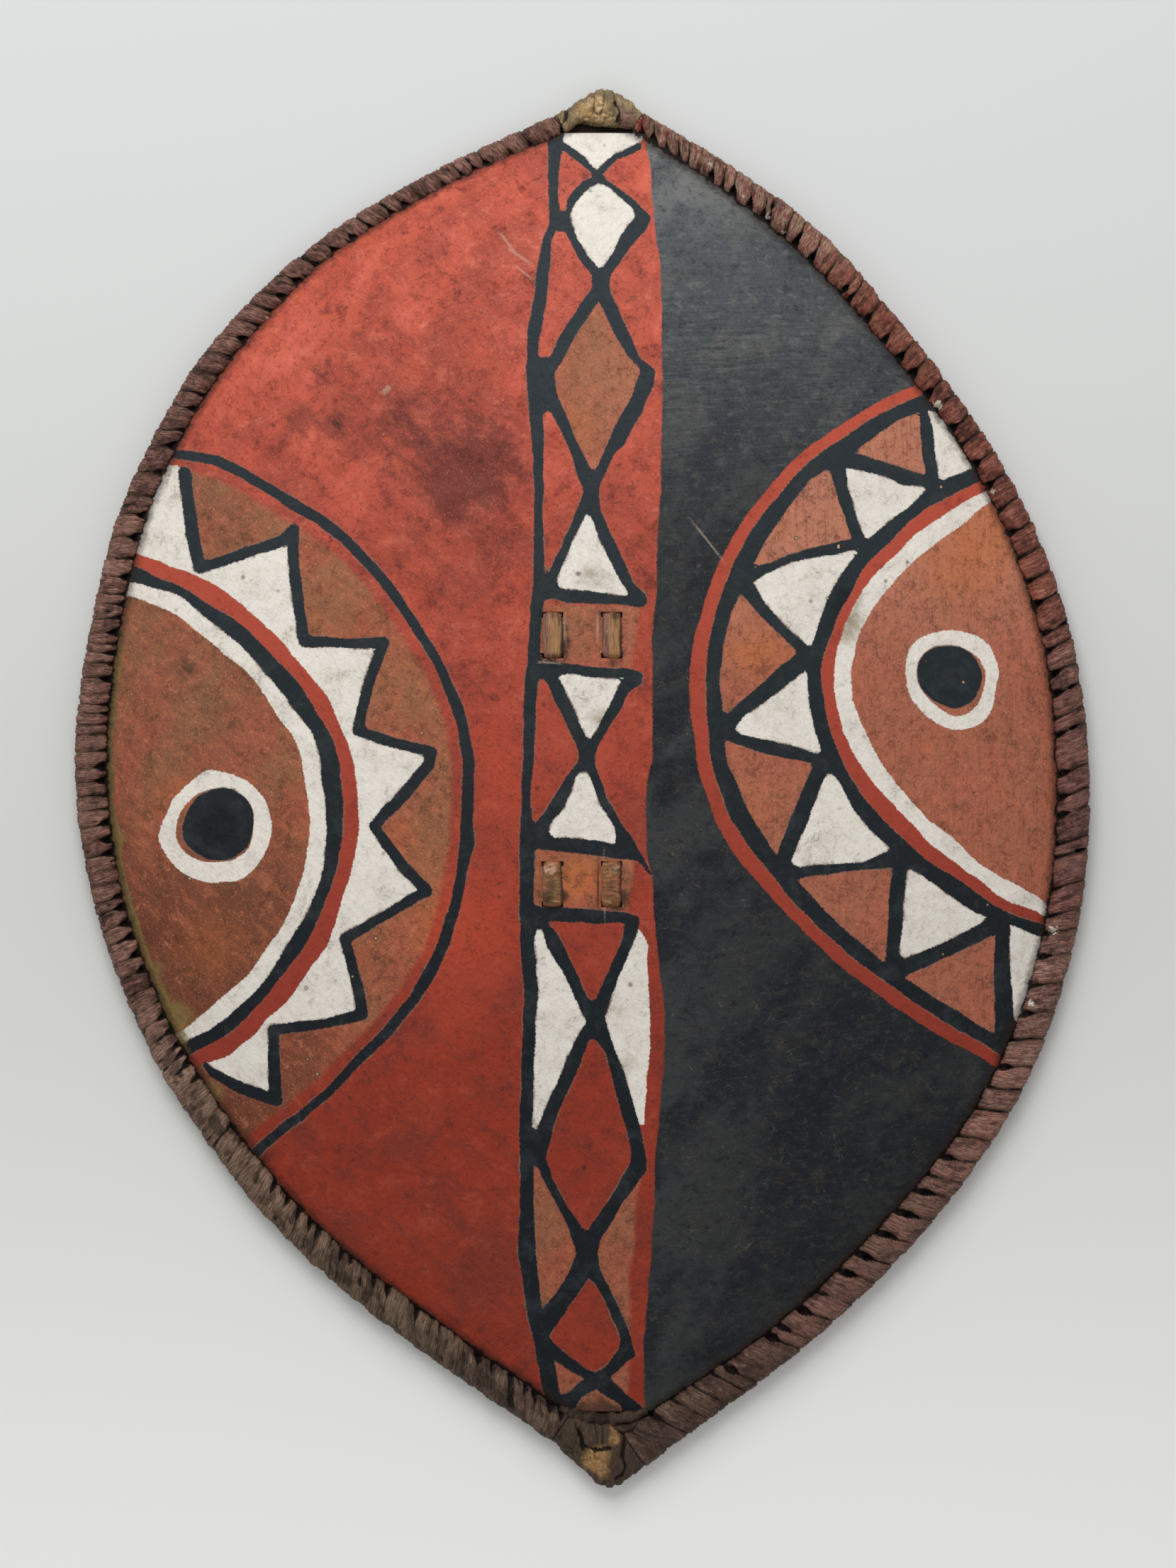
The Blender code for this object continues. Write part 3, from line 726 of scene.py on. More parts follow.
def layers(under, *rows, by=None):
    """Colours laid over one another. A row has a share, or a pattern, the span in which it rises
    and its full strength, and then a colour, or two that are mixed by the share `by`."""
    for share, *rest in rows:
        if isinstance(rest[0], (int, float)):
            low, high, strength, *rest = rest
            share = rise(share, low, high, 0, strength)
        under = laid(share, under, laid(by, *rest) if len(rest) > 1 else rest[0])
    return under


def kept(name):
    return add("ShaderNodeAttribute", {}, attribute_name=name).outputs["Fac"]


def object_place():
    return add("ShaderNodeTexCoord", {}).outputs["Object"]


def axis(name):
    return add("ShaderNodeSeparateXYZ", {"Vector": object_place()}).outputs[name]


def spread(stretch=(1.0, 1.0, 1.0), turn=0.0):
    """Object coordinates in mm, drawn out by stretch along X, Y and Z after a turn about Z."""
    inputs = {"Vector": object_place(), "Rotation": (0, 0, math.radians(turn))}
    turned = add("ShaderNodeMapping", inputs).outputs[0]
    scale = [1 / (MM * value) for value in stretch]
    return add("ShaderNodeMapping", {"Vector": turned, "Scale": scale}).outputs[0]


def mottle(where, size, detail=3.0, roughness=0.55, warp=0.0):
    inputs = {"Vector": where, "Scale": 1 / size, "Detail": detail, "Roughness": roughness}
    return add("ShaderNodeTexNoise", {**inputs, "Distortion": warp}).outputs[0]


def relief(height, depth, strength):
    """Bump whose height runs from 0 to 1 over a depth in mm."""
    inputs = {"Height": height, "Distance": depth * MM, "Strength": strength}
    shown(add("ShaderNodeBump", inputs).outputs[0], "Normal")


def from_half(value):
    return sums("SUBTRACT", value, 0.5)


def crinkles(where, size, width, detail=3.0, warp=0.5):
    """Thin wandering lines: 1 on a line and 0 away from it."""
    level = sums("ABSOLUTE", from_half(mottle(where, size, detail, 0.6, warp)))
    return rise(level, 0.0, width, 1.0, 0.0)


finish = painted = new_finish("painted_hide_front", 0.55, 0.14)
plain = spread()
edge_wander = times(from_half(mottle(plain, 1.6, 3)), 2.2)


def cover(name, softness, shift=0.0):
    """Share of a paint: 1 inside its painted shapes, with a slightly uneven edge."""
    uneven = plus(kept(name), edge_wander)
    return rise(uneven, shift - softness, shift + softness, 1.0, 0.0)


broad = mottle(plain, 95, 4, 0.6)
clouds = mottle(spread((1.0, 1.8, 1.0), turn=40), 34, 5, 0.58, 0.25)
patchy = mottle(plain, 15, 6, 0.7, 0.4)
grainy = mottle(plain, 3.2, 5, 0.72)
fine = mottle(plain, 1.1, 3, 0.6)
brushed = mottle(spread((1.6, 26.0, 6.0)), 1, 4, 0.62)
brushed_across = mottle(spread((34.0, 1.5, 6.0), turn=-4), 1, 4, 0.62)
streaky = mottle(spread((8.0, 34.0, 20.0), turn=-50), 1, 5, 0.66, 0.2)
scrapes = mottle(spread((9.0, 1.3, 5.0), turn=-12), 1, 4, 0.7, 0.3)
fine_cracks = crinkles(plain, 7, 0.03, 5, 0.6)
short_cracks = crinkles(spread((5.0, 8.0, 5.0), turn=25), 1, 0.05, 4, 0.3)
side_x, up_y = axis("X"), axis("Y")
# Painted light: the paints are coloured lighter towards the top of the shield, where the light
# falls, and darker towards the bottom.
painted_top_light = rise(up_y, -0.22, 0.4)
smoky = plus(rise(streaky, 0.36, 0.62, 0.3, 0.6), rise(patchy, 0.36, 0.62, 0.25, 0.65))
# Grime and painted shade: these patches darken every paint.
stain_and_shade = times(kept("grime_and_shade"), smoky)
worn_spots = add("ShaderNodeTexVoronoi", {"Vector": plain, "Scale": 1 / 17, "Randomness": 1.0})
few = rise(mottle(plain, 40, 2), 0.5, 0.56)
speck_core = times(rise(worn_spots.outputs["Distance"], 0.035, 0.06, 1, 0), few)
speck_ring = times(rise(worn_spots.outputs["Distance"], 0.05, 0.13, 1, 0), few)

rubbed = times(rise(scrapes, 0.55, 0.68), rise(clouds, 0.42, 0.6))
lifted = times(rise(scrapes, 0.42, 0.3), rise(streaky, 0.5, 0.34))
red = layers(
    laid(painted_top_light, (146, 52, 34), (198, 92, 73)),
    (broad, 0.42, 0.62, 0.5, (152, 58, 40), (180, 78, 56)),
    (clouds, 0.46, 0.66, 0.6, (122, 52, 40), (160, 74, 60)),
    (streaky, 0.46, 0.68, 0.55, (118, 50, 40), (152, 68, 56)),
    (patchy, 0.52, 0.7, 0.65, (112, 48, 42)),
    (patchy, 0.46, 0.3, 0.5, (172, 76, 54), (222, 122, 98)),
    (times(rubbed, 0.5), (84, 48, 44)),
    # Painted light: these two rows lighten the red towards the top.
    (times(lifted, times(painted_top_light, 0.6)), (214, 144, 124)),
    (times(painted_top_light, rise(clouds, 0.46, 0.3, 0, 0.5)), (222, 112, 92)),
    (kept("orange"), 0.1, 0.9, 0.55, (186, 72, 48)),
    (stain_and_shade, 0.1, 1.2, 0.85, (98, 48, 42)),
    (grainy, 0.51, 0.7, 0.6, (100, 40, 32)),
    (fine, 0.56, 0.72, 0.42, (178, 88, 66), (232, 144, 120)),
    by=painted_top_light,
)
# Painted light: the red bands are also lighter towards the top.
band_red = laid(painted_top_light, (146, 56, 42), (190, 84, 64))
band_red = laid(rise(patchy, 0.5, 0.7, 0, 0.5), band_red, (140, 56, 42))
# Painted sheen: the charcoal and its marks are coloured lighter and greyer towards the top, as a
# sheen from the light.
painted_top_sheen = rise(up_y, 0.09, 0.38)
smudges = mottle(spread((1.5, 1.0, 1.0)), 5.5, 5, 0.68, 0.3)
brush_height = times(rise(up_y, 0.15, 0.23), rise(up_y, 0.33, 0.28, 0.35, 1))
brush_band = times(brush_height, rise(clouds, 0.36, 0.56, 0.3, 1))
hairs = crinkles(plain, 13, 0.006, 2, 0.9)
dusty_side = times(rise(side_x, 0.15, 0.04, 0, 0.34), rise(up_y, 0.14, 0.06))
dusty_side = times(dusty_side, rise(clouds, 0.38, 0.6, 0.1, 1.0))
brushed_dark = times(rise(brushed_across, 0.5, 0.36), brush_band)
brushed_light = times(rise(brushed_across, 0.52, 0.68), plus(brush_band, 0.3))
dark = layers(
    laid(painted_top_sheen, (29, 33, 38), (78, 83, 86)),
    (up_y, 0.345, 0.39, 0.6, (132, 132, 128)),
    (dusty_side, (92, 94, 94)),
    (clouds, 0.46, 0.66, 0.7, (50, 52, 51), (104, 104, 100)),
    (clouds, 0.46, 0.3, 0.6, (24, 28, 33), (54, 57, 66)),
    (patchy, 0.54, 0.7, 0.5, (56, 54, 48), (92, 90, 88)),
    (patchy, 0.45, 0.28, 0.65, (22, 26, 31), (46, 50, 58)),
    (smudges, 0.53, 0.66, 0.65, (60, 60, 54), (112, 112, 108)),
    (smudges, 0.46, 0.32, 0.7, (18, 21, 26), (48, 52, 58)),
    (times(brushed_dark, 0.5), (38, 42, 50)),
    (times(brushed_light, 0.38), (66, 68, 68), (112, 114, 112)),
    (grainy, 0.52, 0.72, 0.5, (22, 25, 29)),
    (fine, 0.56, 0.72, 0.45, (72, 74, 74), (120, 124, 126)),
    (times(hairs, rise(patchy, 0.42, 0.6, 0, 0.5)), (116, 110, 92)),
    (times(lifted, 0.25), (136, 132, 122)),
    by=painted_top_sheen,
)
side_share = rise(side_x, -0.05, 0.15)
low_left = times(rise(side_x, -0.12, -0.19), rise(up_y, 0.02, -0.1))
crusty = mottle(plain, 6.5, 6, 0.74, 0.5)
pale_side = times(side_share, rise(up_y, 0.06, 0.17, 0.1, 0.55))
earth = layers(
    laid(rise(clouds, 0.38, 0.62), (158, 84, 62), (146, 94, 66)),
    (patchy, 0.5, 0.7, 0.7, (122, 80, 52)),
    (patchy, 0.46, 0.28, 0.75, (178, 96, 66)),
    (times(low_left, 0.8), (112, 58, 40)),
    (times(side_share, 0.5), (172, 96, 76)),
    (pale_side, (202, 140, 114)),
)
earth = laid(rise(side_x, -0.17, -0.22), earth, (232, 244, 250), "MULTIPLY")
streaks_down = times(rise(brushed, 0.48, 0.7, 0, 0.6), side_share)
broken = times(short_cracks, rise(patchy, 0.48, 0.64, 0, 0.45))
earth = layers(
    earth,
    (streaks_down, (134, 78, 60)),
    (streaky, 0.52, 0.32, 0.4, (186, 106, 76)),
    (kept("orange"), 0.1, 0.9, 0.65, (190, 106, 54)),
    (crusty, 0.53, 0.66, 0.7, (112, 64, 44), (122, 66, 52)),
    (crusty, 0.46, 0.34, 0.6, (184, 112, 80), (190, 114, 92)),
    (grainy, 0.5, 0.7, 0.6, (98, 58, 42)),
    (broken, (64, 38, 28)),
    (fine, 0.56, 0.72, 0.5, (210, 150, 116)),
    (stain_and_shade, 0.3, 0.9, 0.85, (66, 48, 38)),
    by=side_share,
)
chalk = layers(
    laid(rise(patchy, 0.42, 0.7, 0, 0.6), (228, 222, 212), (204, 194, 182)),
    (grainy, 0.5, 0.75, 0.55, (186, 172, 152)),
    (fine, 0.6, 0.78, 0.4, (150, 136, 116)),
    (stain_and_shade, 0.1, 0.9, 0.75, (134, 120, 88)),
)
# Painted light: the black lines are lighter towards the top.
line = layers(
    laid(painted_top_light, (22, 27, 32), (42, 50, 54)),
    (patchy, 0.46, 0.7, 0.5, (58, 64, 66)),
    (stain_and_shade, 0.3, 0.9, 0.7, (16, 20, 25)),
    (fine, 0.6, 0.78, 0.35, (92, 94, 90)),
)

fringe = times(cover("black", 0.4, 0.8), rise(patchy, 0.46, 0.6, 0.1, 0.75))
cracked = times(fine_cracks, rise(patchy, 0.5, 0.66, 0, 0.4))
speck_core = times(speck_core, cover("brown", 2.4))
colour = layers(
    laid(cover("charcoal", 0.45), red, dark),
    (cover("brown", 2.4), earth),
    (cover("red_band", 0.45), band_red),
    (cover("white", 0.4), chalk),
    (fringe, (134, 104, 92)),
    (cover("black", 0.4), line),
    (cracked, (56, 38, 32)),
    (times(speck_ring, 0.6), (58, 38, 30)),
    (times(speck_core, 0.85), (196, 170, 140)),
)


def hide_spot(x, y):
    """Place on the hide, in mm, that is seen at a photo pixel, found in a few rounds."""
    level = 50.0
    for _ in range(4):
        size = PIXEL_MM * (VIEW_HEIGHT + RIM_LEVEL - level) / VIEW_HEIGHT
        spot = (eye_x + (x - VIEW_PIXEL[0]) * size, eye_y - (y - VIEW_PIXEL[1]) * size)
        level = float(hide_level(*spot))
    return np.array(spot)


def scratch(start, end, width):
    """Thin mark with frayed edges between two places in the photo: 1 on it and 0 off it."""
    start, end = hide_spot(*start), hide_spot(*end)
    run = end - start
    inputs = {
        "Vector": object_place(),
        "Location": (*(start + end) / 2 * MM, 0.0), "Rotation": (0, 0, math.atan2(run[1], run[0])),
        "Scale": (math.hypot(*run) / 2 * MM, width * PIXEL_MM / 2 * MM, 1.0),
    }
    local = add("ShaderNodeMapping", inputs, vector_type="TEXTURE").outputs[0]
    parts = add("ShaderNodeSeparateXYZ", {"Vector": local}).outputs
    away = sums("MAXIMUM", sums("ABSOLUTE", parts["X"]), sums("ABSOLUTE", parts["Y"]))
    return rise(plus(away, times(fine, 2.6)), 1.7, 2.7, 1.0, 0.0)


PALE_MARKS = (
    ((978, 738), (1018, 788), 3), ((796, 872), (797, 905), 4), ((843, 870), (843, 903), 3),
    ((760, 934), (790, 936), 3), ((852, 1210), (853, 1294), 2), ((540, 556), (550, 546), 8),
    ((706, 330), (726, 356), 4), ((718, 352), (748, 372), 4), ((728, 376), (750, 394), 3),
    ((1130, 1903), (1042, 1982), 3),
)
# Dark marks: mostly painted shadow beside the stitches and in their slits, and a few dark
# scratches.
SHADOW_AND_DARK_MARKS = (
    ((844, 864), (876, 873), 6), ((776, 867), (796, 874), 5), ((794, 905), (795, 936), 6),
    ((875, 876), (876, 932), 5), ((844, 1212), (843, 1284), 3), ((470, 596), (482, 604), 7),
    ((860, 1238), (880, 1241), 3), ((772, 1280), (792, 1281), 4),
)
for marks, strength, paint in (
    (PALE_MARKS, 0.36, (196, 176, 156)), (SHADOW_AND_DARK_MARKS, 0.7, (40, 28, 22)),
):
    found = 0.0
    for start, end, width in marks:
        found = sums("MAXIMUM", scratch(start, end, width), found)
    colour = laid(times(found, strength), colour, paint)
bare = times(kept("olive"), rise(patchy, 0.3, 0.6, 0.5, 1.3))
ragged = mottle(plain, 6.5, 4, 0.7)
# Painted shadow: the hide is coloured dark brown, then near-black, towards its edge under the rim.
shade = plus(kept("from_rim"), times(from_half(ragged), 9.0))
colour = layers(
    colour,
    (bare, 0.35, 0.85, 0.85, laid(grainy, (96, 82, 44), (150, 128, 78))),
    (rise(shade, 1.0, 6.0, 0.6, 0.0), (48, 34, 26)),
    (rise(shade, -0.4, 1.3, 0.95, 0.0), (16, 12, 10)),
)
shown(colour)
shown(rise(patchy, 0.3, 0.7, 0.42, 0.7), "Roughness")
height = plus(times(grainy, 0.55), times(patchy, 1.1))
height = sums("SUBTRACT", height, times(fine_cracks, 0.12))
height = plus(height, times(streaky, 1.2))
height = plus(height, times(cover("black", 0.5), 0.12))
relief(height, 1.0, 0.75)

finish = rawhide = new_finish("rawhide_back", 0.6, 0.35)
plain = spread()
clouds = mottle(plain, 70, 5, 0.6, 0.5)
veins = mottle(spread((9.0, 30.0, 20.0), turn=12), 1, 5, 0.6, 1.2)
pores = mottle(plain, 1.6, 3, 0.6)
raw = layers(
    laid(rise(clouds, 0.3, 0.7), (176, 150, 110), (148, 118, 80)),
    (veins, 0.55, 0.75, 0.6, (112, 80, 50)),
    (pores, 0.55, 0.75, 0.5, (98, 72, 48)),
)
shown(raw)
relief(plus(times(pores, 0.4), veins), 0.9, 0.6)


def stitch_place(side, height):
    """Middle of a stitch on the hide, turned to lie along it."""
    step = 5.0
    climb = hide_level(0, height + step) - hide_level(0, height - step)
    tilt = Matrix.Rotation(math.atan2(climb, 2 * step), 4, "X")
    level = float(hide_level(side * STITCH_SIDE, height))
    return Matrix.Translation((side * STITCH_SIDE, height, level)) @ tilt


slit_wide, slit_long = THONG_WIDTH + 2 * SLIT_CLEARANCE, THONG_THICKNESS + 2 * SLIT_CLEARANCE
slit_shape = Matrix.Diagonal((slit_wide, slit_long, 5 * HIDE_THICKNESS, 1))
slit_reach = (THONG_LENGTH - THONG_THICKNESS) / 2
cutter_mesh = bmesh.new()
for height, side, end in itertools.product(STITCH_HEIGHTS, (-1, 1), (-1, 1)):
    where = Matrix.Translation((0, end * slit_reach, 0)) @ slit_shape
    matrix = Matrix.Scale(MM, 4) @ stitch_place(side, height) @ where
    bmesh.ops.create_cube(cutter_mesh, size=1, matrix=matrix)
cutter = modelled("slit_cutter", cutter_mesh)
slits = hide.modifiers.new("slits", "BOOLEAN")
slits.operation = "DIFFERENCE"
slits.solver = "EXACT"
slits.object = cutter
bpy.context.view_layer.update()
cut_hide = hide.evaluated_get(bpy.context.evaluated_depsgraph_get())
slit_mesh = bpy.data.meshes.new_from_object(cut_hide)
hide.modifiers.clear()
hide.data = slit_mesh
bpy.data.objects.remove(cutter)
hide.data.materials.clear()
hide.data.materials.append(painted)
hide.data.materials.append(rawhide)
for face in hide.data.polygons:
    face.material_index = 0 if face.normal.z > 0.3 else 1
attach(hide, "root")
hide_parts("hide_face")

# Bound rims. Strips of wet rawhide are wound over the hide's edge from tip to tip, one run along
# each side. They dried hard, wrinkled and uneven, with creases between the turns that are painted
# near-black as painted shade.
RIM_TOP = (425.0, 428.0)
RIM_BOTTOM = (-406.0, -418.0)
RIM_RINGS, RIM_ARC_POINTS = 1500, 36
RIM_LIP_TOP, RIM_LIP_BOTTOM = 28.0, 348.0
GROOVE_HALF = 2.5
STRAND_WIDTH = 2.7
ROUGH_STEPS, RUN_OVER = 3000, 40.0
FLOOR_GAP, GROOVE_CLEARANCE = 0.1, 0.4
HOLE_HALF, HOLE_DEPTH, OPENING_DEPTH, HOLE_CATCH = 3.4, 4.6, 3.8, 8
CREASE_DEPTH, VALLEY_DEPTH = 1.5, 0.45
UNEVEN, GAP_DEPTH = (1.1, 0.7), (0.9, 0.4)
# Slant, width, fullness and strands of the turns, each beside the height where it holds. The
# first row of a table is the left rim's and the second the right one's.
RIM_SLANTS = (
    ((428, 12), (380, 20), (280, 23), (200, 17), (120, 10), (40, 4), (-100, 4), (-200, 14),
     (-300, 28), (-418, 28)),
    ((428, 30), (380, 22), (330, 12), (270, 8), (230, 5), (130, 8), (40, 20), (-418, 27)),
)
RIM_PITCHES = (
    ((428, 12), (200, 15.5), (110, 9), (0, 9), (-150, 10), (-418, 10)),
    ((428, 9), (360, 12), (300, 15), (0, 15), (-200, 17), (-418, 18)),
)
RIM_PLUMP = (
    ((428, 0.55), (200, 0.6), (100, 0.45), (-100, 0.4), (-200, 0.2), (-418, 0.15)),
    ((428, 0.4), (330, 0.6), (260, 0.85), (0, 0.7), (-418, 0.55)),
)
RIM_STRANDS = (
    ((428, 0.8), (200, 0.75), (0, 0.5), (-150, 0.5), (-418, 0.35)),
    ((428, 0.7), (300, 0.45), (230, 0.4), (0, 0.45), (-418, 0.6)),
)
# Pale flecks, openings painted near-black as the shade in them, and red smears: a place in the
# photo, a size and a strength.
RIM_FLECKS = (
    (378, 450, 5, 1.2), (402, 420, 5, 1.0), (422, 399, 4, 1.0), (355, 478, 4, 0.9),
    (1323, 572, 7, 1.3), (1401, 694, 4, 1.0), (1485, 1312, 7, 1.2), (1455, 1415, 6, 1.1),
    (1083, 306, 5, 1.0), (1105, 328, 4, 0.9), (1121, 347, 5, 1.0), (1130, 361, 4, 0.9),
    (899, 166, 5, 1.1), (895, 186, 5, 0.9), (1003, 232, 4, 0.8), (1050, 276, 4, 0.8),
    (170, 1210, 4, 0.8), (590, 1818, 5, 0.9),
)
RIM_HOLES = (
    (1306, 1681, 12, 1.3), (1284, 1712, 13, 1.3), (1254, 1742, 13, 1.3), (1223, 1772, 12, 1.3),
    (1196, 1794, 12, 1.2), (1133, 1846, 13, 1.3), (1089, 1884, 13, 1.2), (1031, 1929, 12, 1.2),
    (1512, 968, 8, 1.2), (1514, 1026, 8, 1.2), (1500, 880, 8, 1.0), (1522, 1200, 8, 1.1),
    (1090, 292, 7, 1.1), (1128, 335, 7, 1.1), (1190, 410, 8, 1.1),
)
RIM_REDS = (
    (903, 172, 7, 1.1), (905, 183, 6, 0.9), (1112, 305, 8, 0.6), (1165, 386, 10, 0.6),
    (1330, 590, 14, 0.5),
)


def inward(side, height):
    """Unit direction in plan from the rim towards the hide."""
    step = 2.0
    run = outline(1 + side, height - step) - outline(1 + side, height + step)
    across = unit(np.stack((np.full_like(run, 2 * step), run), axis=-1))
    return across if side == LEFT else -across


def rim_middle(side, height):
    edge = np.stack((outline(1 + side, height), height), axis=-1)
    width = outline(3 + side, height)
    return edge - inward(side, height) * (width / 2 - EDGE_TUCK)[:, None]


def by_height(table, height):
    table = np.array(table, float)[::-1]
    return np.interp(height, table[:, 0], table[:, 1])


def lengths_along(points):
    steps = np.linalg.norm(np.diff(points, axis=0), axis=1)
    return np.concatenate(((0,), np.cumsum(steps)))


def swept(line, across, x, z):
    """Points at x to the side of each place on a line in plan, and z above the floor."""
    return np.dstack((line[:, None] + across[:, None] * x[..., None], z))


def bound_rim(name, side, seed):
    """One run of the binding: an oval roll with a groove for the hide, shaped into turns."""
    chance = np.random.default_rng(seed)
    rough_heights = np.linspace(RIM_TOP[side], RIM_BOTTOM[side], ROUGH_STEPS)
    lengths = lengths_along(rim_middle(side, rough_heights))
    along = np.linspace(0, lengths[-1], RIM_RINGS)
    height = np.interp(along, lengths, rough_heights)
    middle, towards = rim_middle(side, height), inward(side, height)
    half_width, half_height = outline(3 + side, height) / 2, rim_half_height(side, height)
    turn = np.radians(np.linspace(RIM_LIP_TOP, RIM_LIP_BOTTOM, RIM_ARC_POINTS))
    x = half_width[:, None] * np.cos(turn)
    z = half_height[:, None] * np.sin(turn)
    slant = np.tan(np.radians(by_height(RIM_SLANTS[side], height)))[:, None]
    arc = (half_width + half_height)[:, None] / 2 * (turn - turn[0])
    lean = slant * x * (1, -1)[side]
    strip = along[:, None] + lean + UNEVEN[side] * lumps(along[:, None], arc, 9, seed + 1)

    # Edges of the turns, run on past both ends. The nearest one moves to each placed opening.
    edges = [-RUN_OVER]
    while edges[-1] < lengths[-1] + RUN_OVER:
        at = np.interp(edges[-1], lengths, rough_heights)
        if side == LEFT:
            odd = chance.choice((0.75, 1.0, 1.15)) * chance.uniform(0.85, 1.15)
        else:
            odd = chance.uniform(0.75, 1.25)
        edges.append(edges[-1] + by_height(RIM_PITCHES[side], at) * odd)
    edges = np.array(edges)
    seen = photo_place(swept(middle, towards, x, z))
    for hole_x, hole_y, _, _ in RIM_HOLES:
        away = np.hypot(seen[0] - hole_x, seen[1] - hole_y) + FAR * (turn > np.pi)
        if away.min() < HOLE_CATCH:
            at = strip[np.unravel_index(away.argmin(), away.shape)]
            edges[np.abs(edges - at).argmin()] = at

    # Each turn has its own tone, lift and depth of crease, and some have a hole beside the hide.
    band = np.clip(np.searchsorted(edges, strip) - 1, 0, len(edges) - 2)
    before, after = strip - edges[band], edges[band + 1] - strip
    part = before / (before + after)
    plump = by_height(RIM_PLUMP[side], height)[:, None]
    depths = chance.uniform(0.6, 1.3, len(edges) + 1)
    holes = np.clip(chance.uniform((-0.9, -0.5)[side], 1.25, len(edges) + 1), 0, 1)
    tones = chance.uniform(-1, 1, len(edges) + 1)
    lifts = chance.uniform(-0.4, 0.4, len(edges) + 1)
    starts = chance.uniform(0, 9, len(edges) + 1)
    nearest = np.minimum(before, after)
    joint = np.where(before < after, band, band + 1)
    inner = eased(np.cos(turn), 0.0, 0.75) * (turn < np.pi)
    outer = eased(-np.cos(turn), 0.2, 0.9)
    firm = 1 - 0.4 * outer
    near_joint = np.exp(-((nearest / (0.55 + 0.9 * inner)) ** 2))
    crease = plump**0.5 * depths[joint] * near_joint * (1 - 0.3 * outer)
    at_hide = eased(np.cos(turn), 0.74, 0.86) * eased(-height[:, None], -150, 50)
    lip = 1 - 0.75 * at_hide * (side == RIGHT)
    low_left = (side == LEFT) * eased(-height[:, None], 20, 200)
    wedge = np.clip(1 - nearest / (HOLE_HALF * inner + 0.01), 0, 1) ** 0.8
    hole = holes[joint] * lip * (1 - 0.6 * low_left) * wedge * inner
    pillow = 1 - np.abs(2 * part - 1) ** 2.4
    raised = plump * (1.2 * (pillow - 0.75) * (1 - 0.75 * outer) + (0.5 - part) * 1.2 * firm)
    raised = raised + lifts[band] * (0.4 + 0.6 * plump) * firm

    # Strands run along each turn, and the skin between them is wrinkled, knocked and gapped.
    fibrous = by_height(RIM_STRANDS[side], height)[:, None]
    wander = 2.2 * lumps(strip, arc, 11, seed + 2) + 0.9 * lumps(strip, arc, 4.5, seed + 3)
    strand = ((strip + wander) / STRAND_WIDTH + starts[band]) % 1
    valley = fibrous * np.exp(-((np.minimum(strand, 1 - strand) * STRAND_WIDTH / 0.42) ** 2))
    rib = 0.45 * fibrous * (1 - np.abs(2 * strand - 1) ** 2)
    wrinkles = 0.4 * lumps(strip, arc / 4, 1.8, seed + 4) + 0.3 * lumps(strip, arc, 2.6, seed + 5)
    knocks = (0.8 + 0.8 * low_left) * firm * lumps(strip, arc, 7, seed + 7)
    gaps = np.clip(lumps(strip, arc / 2.5, 3.4, seed + 6) - 0.5, 0, 1) * 2.2
    slot = 0.3 + 0.7 * np.exp(-((nearest / (1.0 + 2.2 * inner)) ** 2))
    opened = soft(seen, RIM_HOLES) * slot * (turn < np.pi) + 0.16 * lumps(strip, arc, 4, seed + 9)
    opened = eased(opened, 0.42, 0.66)

    # The shape moves the oval's skin out along its normal. A groove takes the hide's edge.
    shape = raised - CREASE_DEPTH * crease - HOLE_DEPTH * hole + rib - VALLEY_DEPTH * valley
    shape = shape + wrinkles + knocks - GAP_DEPTH[side] * gaps - OPENING_DEPTH * opened
    across_x, across_z = np.cos(turn) / half_width[:, None], np.sin(turn) / half_height[:, None]
    size = np.hypot(across_x, across_z)
    x, z = x + shape * across_x / size, z + shape * across_z / size
    groove = (half_width - EDGE_TUCK - GROOVE_CLEARANCE)[:, None]
    x = np.concatenate((x, groove, groove), axis=1)
    groove_wall = np.full_like(groove, GROOVE_HALF)
    z = np.concatenate((z, -groove_wall, groove_wall), axis=1)
    level = (half_height * EDGE_LEVEL_SHARE)[:, None]
    points = swept(middle, towards, x, np.maximum(level + z, FLOOR_GAP))
    seen = photo_place(points)
    on_top = points[..., 2] > level

    def padded(values):
        return np.concatenate((values, values[:, -1:], values[:, :1]), axis=1)

    # Painted shade: creases, holes, gaps and openings are coloured near-black, as shade falls in
    # them.
    dark = np.clip(crease + 1.9 * hole + (0.6, 0.3)[side] * gaps + 1.2 * opened, 0, 1.3)
    held = {
        "strip": padded(strip), "arc": padded(np.broadcast_to(arc, strip.shape)),
        "crease": padded(dark), "turn_tone": padded(tones[band]), "valley": padded(valley),
        "wrinkle_shade_and_highlight": padded(wrinkles + 0.5 * knocks), "turn_edge_shade": padded(plump * (1 - pillow)),
        "crown": padded(np.minimum(plump + 0.35, 1) * pillow),
        "fleck": soft(seen, RIM_FLECKS) * on_top, "rust": soft(seen, RIM_REDS) * on_top,
    }
    return rolled(name, points, held)


finish = binding = new_finish("wound_rawhide", 0.6, 0.2)
follow = add("ShaderNodeCombineXYZ", {0: kept("strip"), 1: kept("arc"), 2: 0.0}).outputs[0]


def along_strip(size_across, size_along, detail=3.0, roughness=0.6):
    inputs = {"Vector": follow, "Scale": (1 / size_across, 1 / size_along, 1)}
    return mottle(add("ShaderNodeMapping", inputs).outputs[0], 1, detail, roughness)


